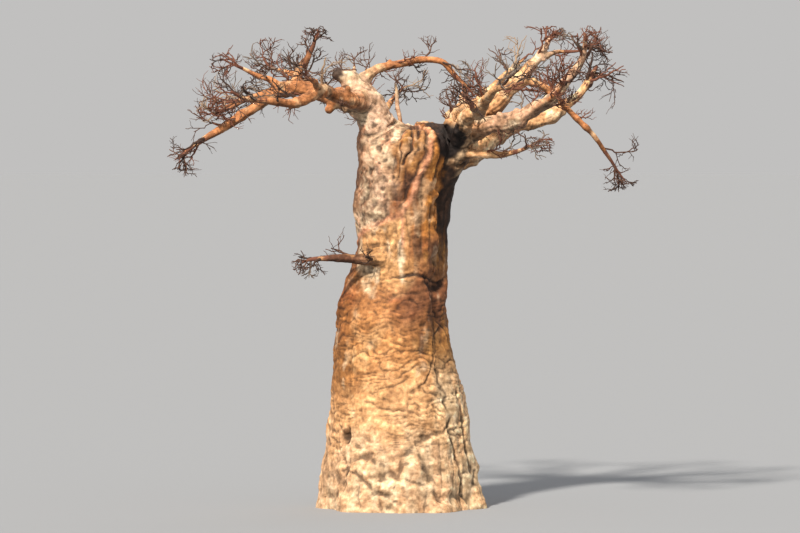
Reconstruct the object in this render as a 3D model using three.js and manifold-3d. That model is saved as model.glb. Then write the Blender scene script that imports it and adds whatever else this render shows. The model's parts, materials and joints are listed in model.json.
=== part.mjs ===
// A bare baobab in its dry season: a bottle-shaped trunk that widens again to a
// head, crooked boughs that leave the head all round, and a mass of twigs on each
// bough's tip. Millimetres, +Z up, +X to the right and +Y away in the front view.
// The origin is in the flat cut at ground level, under the trunk.
import * as THREE from 'three';
import { mergeVertices } from 'three/addons/utils/BufferGeometryUtils.js';
import Module from 'manifold-3d';

const wasm = await Module();
wasm.setup();

const TAU = 2 * Math.PI;
const GAP = 0.35; // between one solid and the next
const SLIVER = 0.2; // cuts and joins leave no edge shorter than this

// Driving dimensions of the trunk, from the foot to the dome between the forks
const HEAD_HEIGHT = 7400; // where the dome starts
const DOME_HEIGHT = 520;
const DOME_EDGE = 0.3; // share of the head's width left flat on top
const TRUNK_STATIONS = [
  { z: 0, halfWidth: 1690, centre: 60 },
  { z: 450, halfWidth: 1590, centre: 40 },
  { z: 1200, halfWidth: 1500, centre: 20 },
  { z: 2200, halfWidth: 1390, centre: 0 },
  { z: 3200, halfWidth: 1220, centre: -90 },
  { z: 4100, halfWidth: 1130, centre: -85 },
  { z: 4700, halfWidth: 1025, centre: 20 },
  { z: 5250, halfWidth: 940, centre: 105 },
  { z: 6100, halfWidth: 980, centre: 120 },
  { z: 6900, halfWidth: 1030, centre: 230 },
  { z: HEAD_HEIGHT, halfWidth: 1140, centre: 330 },
];
const DEPTH_AT_FOOT = 0.97; // depth as a share of width
const DEPTH_AT_HEAD = 0.86;
const TRUNK_SIDES = 40;
const TRUNK_RINGS = 20;
const DOME_RINGS = 3;

// Swellings round the trunk: roots at the foot, flutes at the head, lumps between.
// Each adds its share of the radius, strongest at z and fading over its reach.
const SWELLINGS = [
  { lobes: 6, phase: 0.7, share: 0.05, z: 0, reach: 1100 },
  { lobes: 9, phase: 2.1, share: 0.028, z: 0, reach: 800 },
  { lobes: 5, phase: 1.3, share: 0.045, z: 7300, reach: 1900 },
  { lobes: 3, phase: 2.6, share: 0.03, z: 5400, reach: 1500 },
  { lobes: 4, phase: 0.2, share: 0.018, z: 3000, reach: 1800 },
];

// Hollows that run down the trunk, such as the one under the right boughs. top and foot
// are degrees round it, where 0 is to the right and -90 to the front, and height. flanks
// are the degrees that it takes up before and after its deepest line.
const HOLLOWS = [
  { top: [-50, 8100], foot: [-30, 2200], depth: 230, flanks: [10, 30] },
  { top: [34, 8000], foot: [62, 2600], depth: 140, flanks: [12, 12] },
  { top: [96, 7900], foot: [104, 4300], depth: 110, flanks: [11, 11] },
  { top: [150, 7500], foot: [166, 3000], depth: 120, flanks: [12, 12] },
];
const HOLLOW_FADE = 0.6; // share of a hollow's height over which it deepens from its foot

// The pale column on the left stands back from the belly below it. The shoulder between
// them runs round the trunk from low on the left to high on the right.
const SHOULDER = { angle: -135, width: 62, z: 5720, climb: 9, soft: 130, reach: 900, step: 75 };

// Boughs, each one tapering limb. heading: 0 is to the right, 90 away, 180 to the
// left. rise: degrees above level. Both are read off evenly from foot to tip. foot and
// tip are radii. A bough leaves the trunk at x, y, z or its parent at a share of the
// parent's length. wave: degrees that it strays from its way.
const BOUGHS = [
  { name: 'left_fork', x: -180, y: -120, z: 5900, heading: [224, 218, 205, 190, 182, 180],
    rise: [70, 77, 86, 83, 68, 53], length: 3020, foot: 480, tip: 245, wave: 0 },
  { name: 'left_arch', from: 'left_fork', at: 0.76, heading: [180, 184, 190, 194, 194],
    rise: [32, 28, 12, -10, -28, -33, -34], length: 3540, foot: 215, tip: 84, wave: 5 },
  { name: 'left_knob', from: 'left_fork', at: 0.936, heading: [190], rise: [46, 30], length: 660,
    foot: 168, tip: 112, wave: 4 },
  { name: 'left_front_bough', from: 'left_fork', at: 0.84, heading: [240, 234, 228],
    rise: [22, 6, -8, -4], length: 3100, foot: 180, tip: 84, wave: 12 },
  { name: 'left_front_spur', from: 'left_front_bough', at: 0.6, heading: [268, 258], rise: [24, 10],
    length: 900, foot: 84, tip: 52, wave: 8 },
  { name: 'left_rear_bough', from: 'left_fork', at: 0.816, heading: [136, 144, 152],
    rise: [28, 12, -6, -6], length: 3100, foot: 190, tip: 84, wave: 12 },
  { name: 'left_rear_spur', from: 'left_rear_bough', at: 0.58, heading: [112, 122], rise: [28, 12],
    length: 950, foot: 88, tip: 54, wave: 8 },
  { name: 'top_arch', from: 'left_fork', at: 0.944, heading: [6, 2], rise: [70, 56, 16, 12, 10, 4, -14, -70],
    length: 2250, foot: 108, tip: 58, wave: 4 },
  { name: 'left_spire', from: 'left_arch', at: 0.485, heading: [356, 346], rise: [82, 64, 54], length: 820,
    foot: 98, tip: 64, wave: 6 },
  { name: 'left_spur', from: 'left_arch', at: 0.54, heading: [200, 186], rise: [42, 18], length: 720,
    foot: 82, tip: 52, wave: 10 },
  { name: 'left_side_spur', from: 'left_arch', at: 0.56, heading: [202, 192], rise: [0, -24], length: 900,
    foot: 74, tip: 48, wave: 8 },
  { name: 'low_left_bough', x: -150, y: -600, z: 5140, heading: [200, 194], rise: [6, 2], length: 1250,
    foot: 150, tip: 76, wave: 7 },
  { name: 'rear_bough', x: -60, y: 420, z: 7100, heading: [98, 106, 112], rise: [40, 28, 20, 24],
    length: 3300, foot: 235, tip: 90, wave: 11 },
  { name: 'rear_spur', from: 'rear_bough', at: 0.6, heading: [66, 76], rise: [30, 16], length: 950,
    foot: 92, tip: 54, wave: 8 },
  { name: 'crotch_stick', x: 40, y: 40, z: 7650, heading: [170], rise: [88, 80], length: 1150, foot: 58,
    tip: 30, wave: 7 },
  { name: 'right_bough', x: 800, y: -100, z: 7000, heading: [356, 352, 358], rise: [50, 54, 40, 38],
    length: 2650, foot: 285, tip: 150, wave: 6 },
  { name: 'front_bough', from: 'right_bough', at: 0.3, heading: [282, 286, 280], rise: [24, 16, 14],
    length: 2900, foot: 180, tip: 88, wave: 9 },
  { name: 'front_spur', from: 'front_bough', at: 0.56, heading: [258, 266], rise: [14, 4], length: 850,
    foot: 84, tip: 52, wave: 8 },
  { name: 'right_upper_bough', from: 'right_bough', at: 0.96, heading: [10, 2], rise: [50, 52], length: 780,
    foot: 122, tip: 74, wave: 6 },
  { name: 'right_out_spur', from: 'right_upper_bough', at: 0.7, heading: [6, -10], rise: [32, 6],
    length: 620, foot: 60, tip: 40, wave: 8 },
  { name: 'right_drooper', from: 'right_bough', at: 0.94, heading: [14, 4], rise: [0, -38, -50, -48],
    length: 2450, foot: 84, tip: 46, wave: 7 },
  { name: 'right_front_bough', from: 'right_bough', at: 0.38, heading: [326, 332, 336],
    rise: [12, 10, 34, 42], length: 2750, foot: 215, tip: 105, wave: 8 },
  { name: 'right_front_spur', from: 'right_front_bough', at: 0.6, heading: [300, 308], rise: [18, 26],
    length: 900, foot: 92, tip: 54, wave: 8 },
  { name: 'right_low_bough', x: 950, y: -240, z: 7420, heading: [342, 330], rise: [-4, -8, 16],
    length: 1500, foot: 118, tip: 60, wave: 8 },
  { name: 'right_rear_bough', x: 760, y: 300, z: 7050, heading: [34, 24, 20], rise: [36, 24, 14, 32],
    length: 3350, foot: 270, tip: 120, wave: 10 },
  { name: 'right_rear_spur', from: 'right_rear_bough', at: 0.62, heading: [60, 48], rise: [36, 18],
    length: 950, foot: 96, tip: 56, wave: 8 },
  { name: 'right_back_bough', x: 600, y: 460, z: 7000, heading: [68, 58, 52], rise: [46, 36, 24, 32],
    length: 3350, foot: 235, tip: 92, wave: 10 },
  { name: 'right_back_spur', from: 'right_back_bough', at: 0.6, heading: [92, 84], rise: [34, 18],
    length: 900, foot: 90, tip: 54, wave: 8 },
];
const WAVES = 1.7; // waves of straying along a bough
const WAVE_PHASES = 7; // so that boughs don't all stray alike
const COLLAR = 0.25; // how much a bough swells where it leaves its parent
const COLLAR_REACH = 2; // in foot radii
const TAPER = 0.8; // under 1, a bough thins more near its foot
const BOUGH_STEPS = 8;
const THICK = 150; // a bough with a thicker foot than this has more sides

// Masses of twigs, one on each bough's tip. reach is the radius of the space that a
// mass keeps to, lift bends its twigs up or lets them hang.
const MASSES = [
  { on: 'left_arch', reach: 820, lift: -0.5 },
  { on: 'left_spire', reach: 440, lift: 0.4 },
  { on: 'left_spur', reach: 620, lift: 0.1 },
  { on: 'left_side_spur', reach: 600, lift: 0.1 },
  { on: 'left_front_bough', reach: 980, lift: 0.1 },
  { on: 'left_front_spur', reach: 800, lift: 0.1 },
  { on: 'left_rear_bough', reach: 980, lift: 0.1 },
  { on: 'left_rear_spur', reach: 820, lift: 0.1 },
  { on: 'top_arch', reach: 580, lift: -0.25 },
  { on: 'low_left_bough', reach: 560, lift: -0.1 },
  { on: 'front_bough', reach: 940, lift: 0.05 },
  { on: 'front_spur', reach: 720, lift: 0.0 },
  { on: 'rear_bough', reach: 1000, lift: 0.1 },
  { on: 'rear_spur', reach: 820, lift: 0.1 },
  { on: 'right_upper_bough', reach: 440, lift: 0.0 },
  { on: 'right_out_spur', reach: 640, lift: 0.0 },
  { on: 'right_drooper', reach: 640, lift: -0.35 },
  { on: 'right_front_bough', reach: 900, lift: 0.15 },
  { on: 'right_front_spur', reach: 780, lift: 0.1 },
  { on: 'right_low_bough', reach: 640, lift: 0.15 },
  { on: 'right_rear_bough', reach: 980, lift: 0.1 },
  { on: 'right_rear_spur', reach: 800, lift: 0.1 },
  { on: 'right_back_bough', reach: 980, lift: 0.1 },
  { on: 'right_back_spur', reach: 800, lift: 0.1 },
];
const STEM_SHARE = 1.2; // a mass's stem, as a share of its reach
const CENTRE_SHARE = 0.62; // how far along that way the middle of its space lies
const HEIGHT_SHARE = 0.8; // the space's half-height as a share of its reach
const LEVELS = [
  { children: 4, lengthShare: 0.66, radiusShare: 0.66, sides: 4, steps: 3 },
  { children: 2, lengthShare: 0.6, radiusShare: 0.62, sides: 3, steps: 2 },
  { children: 0, lengthShare: 0, radiusShare: 0, sides: 3, steps: 1 },
];
const TIP_SHARE = 0.3; // a twig's tip as a share of its foot
const LEAST_TWIG = 9; // radius of the finest tip
const LEAST_FOOT = 12; // radius of the finest twig's foot
const FIRST_FORK = 0.3; // share of a twig that stays bare before its first fork
const TRIES = 4; // places that a side twig may try
const SHORTER = 0.85; // what each new try keeps of its length
const FORK_ANGLE = 44; // degrees between a twig and its parent
const FORK_SPREAD = 16;
const SPREAD_OF_LENGTHS = 0.2; // either way
const LOW_LENGTH = 1.15; // how much longer a side twig is at its parent's foot
const LESS_AT_TIP = 0.35; // how much of that is lost along the parent
const SPIRAL = 137.5; // degrees round the parent from one twig to the next
const SPIRAL_SPREAD = 40;
const BEND = 0.34; // how far each step of a twig strays from the last
const LIFT_SHARE = 0.5; // how much of a mass's lift each step takes
const SAMPLES = [0.25, 0.5, 0.75, 1]; // where a step is looked at, to see whether it is free
const FIRST_SEED = 101;
const SEED_STEP = 31;
const MASS_MARGIN = 15; // kept clear between one mass's space and the next
const LIMB_MARGIN = 20; // kept clear between a twig and any limb
const STEM_CLEAR = 1.5; // in foot radii, what a stem passes over of its own bough
const SPOT_STEP = 60; // between the spots that stand for a limb when twigs look for room
const TRUNK_SPOT_STEP = 150;
const TRUNK_SPOT_SIZE = 1.06; // as a share of the trunk's half-width

const BARK = { golden: 0xc08a5c, pale: 0xd3bba0, dark: 0x8a5f48, twig: 0x6f5547 };

// A repeatable stream of numbers from 0 to 1
function randomStream(seed) {
  let state = seed >>> 0;
  return () => {
    state = (state + 0x6d2b79f5) >>> 0;
    let mixed = Math.imul(state ^ (state >>> 15), state | 1);
    mixed = (mixed + Math.imul(mixed ^ (mixed >>> 7), mixed | 61)) ^ mixed;
    return ((mixed ^ (mixed >>> 14)) >>> 0) / 4294967296;
  };
}

function direction(heading, rise) {
  const h = THREE.MathUtils.degToRad(heading);
  const r = THREE.MathUtils.degToRad(rise);
  return new THREE.Vector3(Math.cos(h) * Math.cos(r), Math.sin(h) * Math.cos(r), Math.sin(r));
}

// Turns a closed three.js geometry into a solid that can be joined and cut
function solidOf(geometry) {
  const bare = new THREE.BufferGeometry();
  bare.setAttribute('position', geometry.getAttribute('position'));
  bare.setIndex(geometry.getIndex());
  const merged = mergeVertices(bare, 1e-3);
  return new wasm.Manifold(new wasm.Mesh({
    numProp: 3,
    vertProperties: new Float32Array(merged.getAttribute('position').array),
    triVerts: new Uint32Array(merged.getIndex().array),
  }));
}

function geometryOf(solid) {
  const mesh = solid.getMesh();
  const geometry = new THREE.BufferGeometry();
  geometry.setAttribute('position', new THREE.BufferAttribute(new Float32Array(mesh.vertProperties), 3));
  geometry.setIndex(new THREE.BufferAttribute(new Uint32Array(mesh.triVerts), 1));
  return geometry.toNonIndexed();
}

// A closed cylinder whose rings are carried to wherever place(angle, share) says
function carriedCylinder(sides, rings, place) {
  const geometry = new THREE.CylinderGeometry(1, 1, 1, sides, rings);
  const position = geometry.getAttribute('position');
  const point = new THREE.Vector3();
  for (let i = 0; i < position.count; i++) {
    point.fromBufferAttribute(position, i);
    const outward = Math.hypot(point.x, point.z);
    const share = point.y + 0.5;
    const moved = place(Math.atan2(-point.z, point.x), share, outward);
    position.setXYZ(i, moved.x, moved.y, moved.z);
  }
  return geometry;
}

// A smooth curve through the trunk's stations, for one of their sizes
function station(key, z) {
  const list = TRUNK_STATIONS;
  const above = list.findIndex((s) => s.z > z);
  const i = (above < 0 ? list.length - 1 : above) - 1;
  const at = (n) => list[Math.max(0, Math.min(list.length - 1, n))];
  const slope = (n) => (at(n + 1)[key] - at(n - 1)[key]) / (at(n + 1).z - at(n - 1).z);
  const span = at(i + 1).z - at(i).z;
  const t = (z - at(i).z) / span;
  return at(i)[key] * (1 + 2 * t) * (1 - t) ** 2 + at(i + 1)[key] * t * t * (3 - 2 * t)
    + span * (slope(i) * t * (1 - t) ** 2 - slope(i + 1) * t * t * (1 - t));
}

function swelling(angle, z) {
  return SWELLINGS.reduce((sum, s) => {
    const fade = Math.exp(-(((z - s.z) / s.reach) ** 2));
    return sum + s.share * fade * Math.cos(s.lobes * angle + s.phase);
  }, 1);
}

// Degrees from one direction round the trunk to another, -180 to 180
function turnBetween(angle, degrees) {
  return THREE.MathUtils.euclideanModulo(THREE.MathUtils.radToDeg(angle) - degrees + 180, 360) - 180;
}

// How far the trunk's skin lies inside or outside its swollen round shape
function hollowed(angle, z) {
  const hollows = HOLLOWS.reduce((sum, { top, foot, depth, flanks }) => {
    const share = (z - foot[1]) / (top[1] - foot[1]);
    const turn = turnBetween(angle, THREE.MathUtils.lerp(foot[0], top[0], share));
    const across = Math.exp(-((turn / flanks[turn < 0 ? 0 : 1]) ** 2));
    return sum - depth * across * THREE.MathUtils.smoothstep(share, 0, HOLLOW_FADE);
  }, 0);
  const { step, soft, reach, width } = SHOULDER;
  const turn = turnBetween(angle, SHOULDER.angle);
  const above = z - SHOULDER.z - SHOULDER.climb * turn;
  const across = Math.exp(-((turn / width) ** 4)) * Math.exp(-((above / reach) ** 2));
  return hollows - step * Math.tanh(above / soft) * across;
}

// A point on the trunk's skin. up is 0 to 1 over the trunk and 1 to 2 over its dome.
function trunkPoint(angle, up, outward, grow) {
  const z = Math.min(up, 1) * HEAD_HEIGHT;
  const over = Math.max(up - 1, 0);
  const shrink = DOME_EDGE + (1 - DOME_EDGE) * Math.cos(over * TAU / 4);
  const halfWidth = (station('halfWidth', z) * swelling(angle, z) + hollowed(angle, z)) * shrink + grow;
  const depth = THREE.MathUtils.lerp(DEPTH_AT_FOOT, DEPTH_AT_HEAD, z / HEAD_HEIGHT);
  return new THREE.Vector3(
    station('centre', z) + Math.cos(angle) * halfWidth * outward,
    Math.sin(angle) * halfWidth * depth * outward,
    z + DOME_HEIGHT * Math.sin(over * TAU / 4) + (over === 1 ? grow : 0),
  );
}

function trunkSolid(grow = 0) {
  const rings = TRUNK_RINGS + DOME_RINGS;
  return solidOf(carriedCylinder(TRUNK_SIDES, rings, (angle, share, outward) => {
    const ring = Math.round(share * rings);
    const up = ring <= TRUNK_RINGS ? ring / TRUNK_RINGS : 1 + (ring - TRUNK_RINGS) / DOME_RINGS;
    return trunkPoint(angle, up, outward, grow);
  }));
}

// Reads a list off evenly: share 0 is its first value, 1 its last
function readOff(list, share) {
  const place = share * (list.length - 1);
  const i = Math.min(Math.floor(place), Math.max(0, list.length - 2));
  const next = list[Math.min(i + 1, list.length - 1)];
  return THREE.MathUtils.lerp(list[i], next, place - i);
}

// The crooked middle line of a bough
function boughCourse(bough, start) {
  const { heading, rise, length, wave } = bough;
  const points = [start.clone()];
  const phase = bough.name.length / WAVE_PHASES;
  for (let i = 0; i < BOUGH_STEPS; i++) {
    const share = (i + 0.5) / BOUGH_STEPS;
    const turned = TAU * (WAVES * share + phase);
    const way = direction(readOff(heading, share) + wave * Math.sin(turned),
      readOff(rise, share) + wave * Math.cos(turned));
    points.push(points[i].clone().addScaledVector(way, length / BOUGH_STEPS));
  }
  return new THREE.CatmullRomCurve3(points);
}

function boughRadius(bough, share) {
  const collar = COLLAR * bough.foot * Math.exp(-share * bough.length / (COLLAR_REACH * bough.foot));
  return THREE.MathUtils.lerp(bough.foot, bough.tip, share ** TAPER) + collar;
}

// A tube round a curve, with radius(share of its length), grown all round where it
// makes room for itself in another limb
function tubeSolid(curve, radius, sides, steps, grow = 0) {
  const frames = curve.computeFrenetFrames(steps);
  return solidOf(carriedCylinder(sides, steps, (angle, share, outward) => {
    const step = Math.round(share * steps);
    const size = (radius(share) + grow) * outward;
    const overrun = step === 0 ? -grow : step === steps ? grow : 0;
    return curve.getPointAt(share)
      .addScaledVector(frames.normals[step], Math.cos(angle) * size)
      .addScaledVector(frames.binormals[step], Math.sin(angle) * size)
      .addScaledVector(frames.tangents[step], overrun);
  }));
}

function largestPiece(solid) {
  return solid.decompose().reduce((best, piece) => (piece.volume() > best.volume() ? piece : best));
}

function makeBoughs() {
  const made = [];
  for (const bough of BOUGHS) {
    const parent = made.find((m) => m.bough.name === bough.from);
    const start = parent ? parent.course.getPointAt(bough.at) : new THREE.Vector3(bough.x, bough.y, bough.z);
    const course = boughCourse(bough, start);
    made.push({ bough, course });
  }
  return made;
}

// Limbs are cut back to what carries them, and to the limbs beside them
function cutBoughs(boughs) {
  const standing = [trunkSolid(GAP)];
  for (const made of boughs) {
    const { bough, course } = made;
    const sides = bough.foot > THICK ? 8 : 6;
    const radius = (along) => boughRadius(bough, along);
    const whole = tubeSolid(course, radius, sides, BOUGH_STEPS);
    made.solid = largestPiece(standing.reduce((left, other) => left.subtract(other), whole)).simplify(SLIVER);
    standing.push(tubeSolid(course, radius, sides, BOUGH_STEPS, GAP));
  }
}

// Where a mass starts, and the middle of the space that it keeps to
function placeMasses(boughs) {
  return MASSES.map((mass, i) => {
    const { bough, course } = boughs.find((m) => m.bough.name === mass.on);
    const way = course.getTangentAt(1);
    const tip = course.getPointAt(1);
    const leaning = way.clone().add(new THREE.Vector3(0, 0, mass.lift)).normalize();
    return {
      ...mass,
      name: mass.on.replace('_bough', '') + '_twigs',
      seed: FIRST_SEED + i * SEED_STEP,
      start: tip.clone().addScaledVector(way, GAP),
      way,
      foot: bough.tip,
      centre: tip.clone().addScaledVector(leaning, mass.reach * CENTRE_SHARE),
    };
  });
}

// Whether a point of a twig lies in the mass's own space, clear of every limb
function isFree(point, radius, mass, masses, limbs) {
  const own = point.distanceTo(mass.centre);
  const kept = 2 * (radius + MASS_MARGIN);
  const { x, y, z } = point.clone().sub(mass.centre);
  if (Math.hypot(x, y, z / HEIGHT_SHARE) > mass.reach) return false;
  if (masses.some((m) => m !== mass && point.distanceTo(m.centre) < own + kept)) return false;
  return limbs.every((limb) => point.distanceTo(limb.point) > limb.radius + radius + LIMB_MARGIN);
}

// One twig's line: steps that stray from the last and bend by the mass's lift. It
// ends before the first step that isn't free.
function twigCourse(start, way, length, steps, lift, random, free) {
  const points = [start.clone()];
  const heading = way.clone();
  for (let i = 0; i < steps; i++) {
    const next = points[i].clone().addScaledVector(heading, length / steps);
    if (!SAMPLES.every((share) => free(points[i].clone().lerp(next, share)))) break;
    points.push(next);
    heading.x += (random() - 0.5) * 2 * BEND;
    heading.y += (random() - 0.5) * 2 * BEND;
    heading.z += (random() - 0.5) * 2 * BEND + lift * LIFT_SHARE;
    heading.normalize();
  }
  return points;
}

// The direction of a side twig, turned away from its parent
function sideWay(way, turn, random) {
  const aside = new THREE.Vector3(-way.y, way.x + 1e-6, 0).normalize();
  const round = THREE.MathUtils.degToRad(turn + (random() - 0.5) * 2 * SPIRAL_SPREAD);
  const away = THREE.MathUtils.degToRad(FORK_ANGLE + (random() - 0.5) * 2 * FORK_SPREAD);
  aside.applyAxisAngle(way, round);
  return way.clone().multiplyScalar(Math.cos(away)).addScaledVector(aside, Math.sin(away)).normalize();
}

// Grows a mass from its stem. Each twig has a stream of its own, so that one twig
// left out changes nothing about the others.
function growTwigs(mass, masses, limbs) {
  const twigs = [];
  const grow = (start, way, length, foot, level, seed, random) => {
    const rule = LEVELS[level];
    const free = (point) => level === 0 || isFree(point, foot, mass, masses, limbs);
    const points = twigCourse(start, way, length, rule.steps, mass.lift, random, free);
    if (points.length <= rule.steps) return false;
    const tip = Math.max(LEAST_TWIG, foot * TIP_SHARE);
    twigs.push({ points, foot, tip, level });
    for (let i = 0; i < rule.children; i++) {
      const along = FIRST_FORK + (1 - FIRST_FORK) * (i + random()) / rule.children;
      const step = Math.min(rule.steps - 1, Math.floor(along * rule.steps));
      const a = points[step];
      const b = points[step + 1];
      const from = a.clone().lerp(b, along * rule.steps - step);
      const forward = b.clone().sub(a).normalize();
      const radius = Math.max(LEAST_FOOT, THREE.MathUtils.lerp(foot, tip, along) * rule.radiusShare);
      const spread = 1 - SPREAD_OF_LENGTHS + 2 * SPREAD_OF_LENGTHS * random();
      const reach = length * rule.lengthShare * spread * (LOW_LENGTH - LESS_AT_TIP * along);
      for (let attempt = 0; attempt < TRIES; attempt++) {
        const branch = seed * SEED_STEP + i * TRIES + attempt + 1;
        const stream = randomStream(branch);
        const side = sideWay(forward, SPIRAL * (i + attempt), stream);
        if (grow(from, side, reach * SHORTER ** attempt, radius, level + 1, branch, stream)) break;
      }
    }
    return true;
  };
  const length = mass.reach * STEM_SHARE;
  grow(mass.start, mass.way, length, mass.foot, 0, mass.seed, randomStream(mass.seed));
  return twigs;
}

function massSolid(twigs) {
  const tubes = twigs.map(({ points, foot, tip, level }) => {
    const rule = LEVELS[level];
    const curve = new THREE.CatmullRomCurve3(points);
    const radius = (along) => THREE.MathUtils.lerp(foot, tip, along);
    return tubeSolid(curve, radius, rule.sides, points.length - 1);
  });
  return largestPiece(wasm.Manifold.union(tubes)).simplify(SLIVER);
}

// Points with a radius, close together along each limb and up the trunk
function limbPoints(boughs) {
  const spots = boughs.flatMap(({ bough, course }) => {
    const count = Math.ceil(bough.length / SPOT_STEP);
    return Array.from({ length: count + 1 }, (_, i) => ({
      point: course.getPointAt(i / count),
      radius: boughRadius(bough, i / count),
    }));
  });
  for (let z = 0; z <= HEAD_HEIGHT; z += TRUNK_SPOT_STEP) {
    const radius = station('halfWidth', z) * TRUNK_SPOT_SIZE;
    spots.push({ point: new THREE.Vector3(station('centre', z), 0, z), radius });
  }
  return spots;
}

function meshOf(name, solid, colour) {
  const material = new THREE.MeshStandardMaterial({ color: colour, roughness: 0.87, metalness: 0 });
  const mesh = new THREE.Mesh(geometryOf(solid), material);
  mesh.name = name;
  return mesh;
}

const tree = new THREE.Group();
tree.add(meshOf('trunk', trunkSolid(), BARK.golden));

const boughs = makeBoughs();
cutBoughs(boughs);
for (const { bough, solid } of boughs) {
  const pale = bough.name === 'left_fork' || bough.name === 'left_knob';
  tree.add(meshOf(bough.name, solid, pale ? BARK.pale : BARK.dark));
}

// Trunk and boughs as spots that twigs keep clear of
const limbs = limbPoints(boughs);
const masses = placeMasses(boughs);
for (const mass of masses) {
  // The stem starts at its own bough's tip, so the last of that bough isn't in its way
  const others = limbs.filter(({ point }) => point.distanceTo(mass.start) > mass.foot * STEM_CLEAR);
  tree.add(meshOf(mass.name, massSolid(growTwigs(mass, masses, others)), BARK.twig));
}

export default tree;
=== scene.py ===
"""The looks of a bare baobab in its dry season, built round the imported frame.

Metres, +Z up, +X to the right and +Y away in the main view. The tables and the rule of
growth are the solids' own, so that every limb lies where its solid does. Here they are
carried on: folds, seams and scars in the bark, and finer twigs within each mass's reach.
"""
import json
import math
from collections import namedtuple

import bpy
import numpy as np
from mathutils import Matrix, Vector

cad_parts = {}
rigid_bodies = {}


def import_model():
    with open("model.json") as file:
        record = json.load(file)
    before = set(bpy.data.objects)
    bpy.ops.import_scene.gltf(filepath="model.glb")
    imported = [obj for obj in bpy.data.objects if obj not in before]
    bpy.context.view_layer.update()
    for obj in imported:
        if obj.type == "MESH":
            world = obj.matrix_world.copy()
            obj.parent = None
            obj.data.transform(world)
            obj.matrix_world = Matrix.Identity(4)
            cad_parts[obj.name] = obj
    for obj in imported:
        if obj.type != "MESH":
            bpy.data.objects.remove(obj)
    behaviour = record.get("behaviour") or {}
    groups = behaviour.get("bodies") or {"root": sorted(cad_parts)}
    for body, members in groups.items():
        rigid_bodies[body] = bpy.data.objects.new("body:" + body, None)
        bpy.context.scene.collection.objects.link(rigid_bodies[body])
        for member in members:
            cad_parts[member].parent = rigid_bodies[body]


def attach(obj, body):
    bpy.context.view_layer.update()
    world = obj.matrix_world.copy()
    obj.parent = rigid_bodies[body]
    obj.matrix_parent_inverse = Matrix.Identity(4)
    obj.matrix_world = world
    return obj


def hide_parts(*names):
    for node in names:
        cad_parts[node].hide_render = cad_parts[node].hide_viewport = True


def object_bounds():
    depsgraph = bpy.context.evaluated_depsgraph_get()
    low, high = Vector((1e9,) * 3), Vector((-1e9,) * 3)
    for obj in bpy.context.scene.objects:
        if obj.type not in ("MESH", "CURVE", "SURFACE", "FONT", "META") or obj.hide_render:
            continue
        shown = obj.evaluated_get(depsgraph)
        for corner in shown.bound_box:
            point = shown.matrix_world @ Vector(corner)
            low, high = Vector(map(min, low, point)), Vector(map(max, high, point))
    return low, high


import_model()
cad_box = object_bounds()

TAU = 2 * math.pi
WORD = 0xFFFFFFFF  # the repeatable stream works in 32 bits

# The trunk, as its solid has it
HEAD_HEIGHT = 7.4
DOME_HEIGHT = 0.52
DOME_EDGE = 0.3
STATIONS = np.array([
    # height, half width, centre
    (0.00, 1.690, 0.060),
    (0.45, 1.590, 0.040),
    (1.20, 1.500, 0.020),
    (2.20, 1.390, 0.000),
    (3.20, 1.220, -0.090),
    (4.10, 1.130, -0.085),
    (4.70, 1.025, 0.020),
    (5.25, 0.940, 0.105),
    (6.10, 0.980, 0.120),
    (6.90, 1.030, 0.230),
    (HEAD_HEIGHT, 1.140, 0.330),
])
DEPTH_AT_FOOT = 0.97
DEPTH_AT_HEAD = 0.86
Swelling = namedtuple("Swelling", "lobes phase share z reach")
SWELLINGS = (
    Swelling(6, 0.7, 0.05, 0.0, 1.1),
    Swelling(9, 2.1, 0.028, 0.0, 0.8),
    Swelling(5, 1.3, 0.045, 7.3, 1.9),
    Swelling(3, 2.6, 0.03, 5.4, 1.5),
    Swelling(4, 0.2, 0.018, 3.0, 1.8),
)
# Hollows that run down the trunk: degrees round it and height of their top and foot,
# depth, and the degrees that each takes up before and after its deepest line
Hollow = namedtuple("Hollow", "top foot depth flanks")
HOLLOWS = (
    Hollow((-50, 8.1), (-30, 2.2), 0.23, (10, 30)),
    Hollow((34, 8.0), (62, 2.6), 0.14, (12, 12)),
    Hollow((96, 7.9), (104, 4.3), 0.11, (11, 11)),
    Hollow((150, 7.5), (166, 3.0), 0.12, (12, 12)),
)
# The shoulder where the belly steps out below the pale column on the left
Shoulder = namedtuple("Shoulder", "angle width z climb soft reach step")
SHOULDER = Shoulder(-135, 62, 5.72, 0.009, 0.13, 0.9, 0.075)

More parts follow.
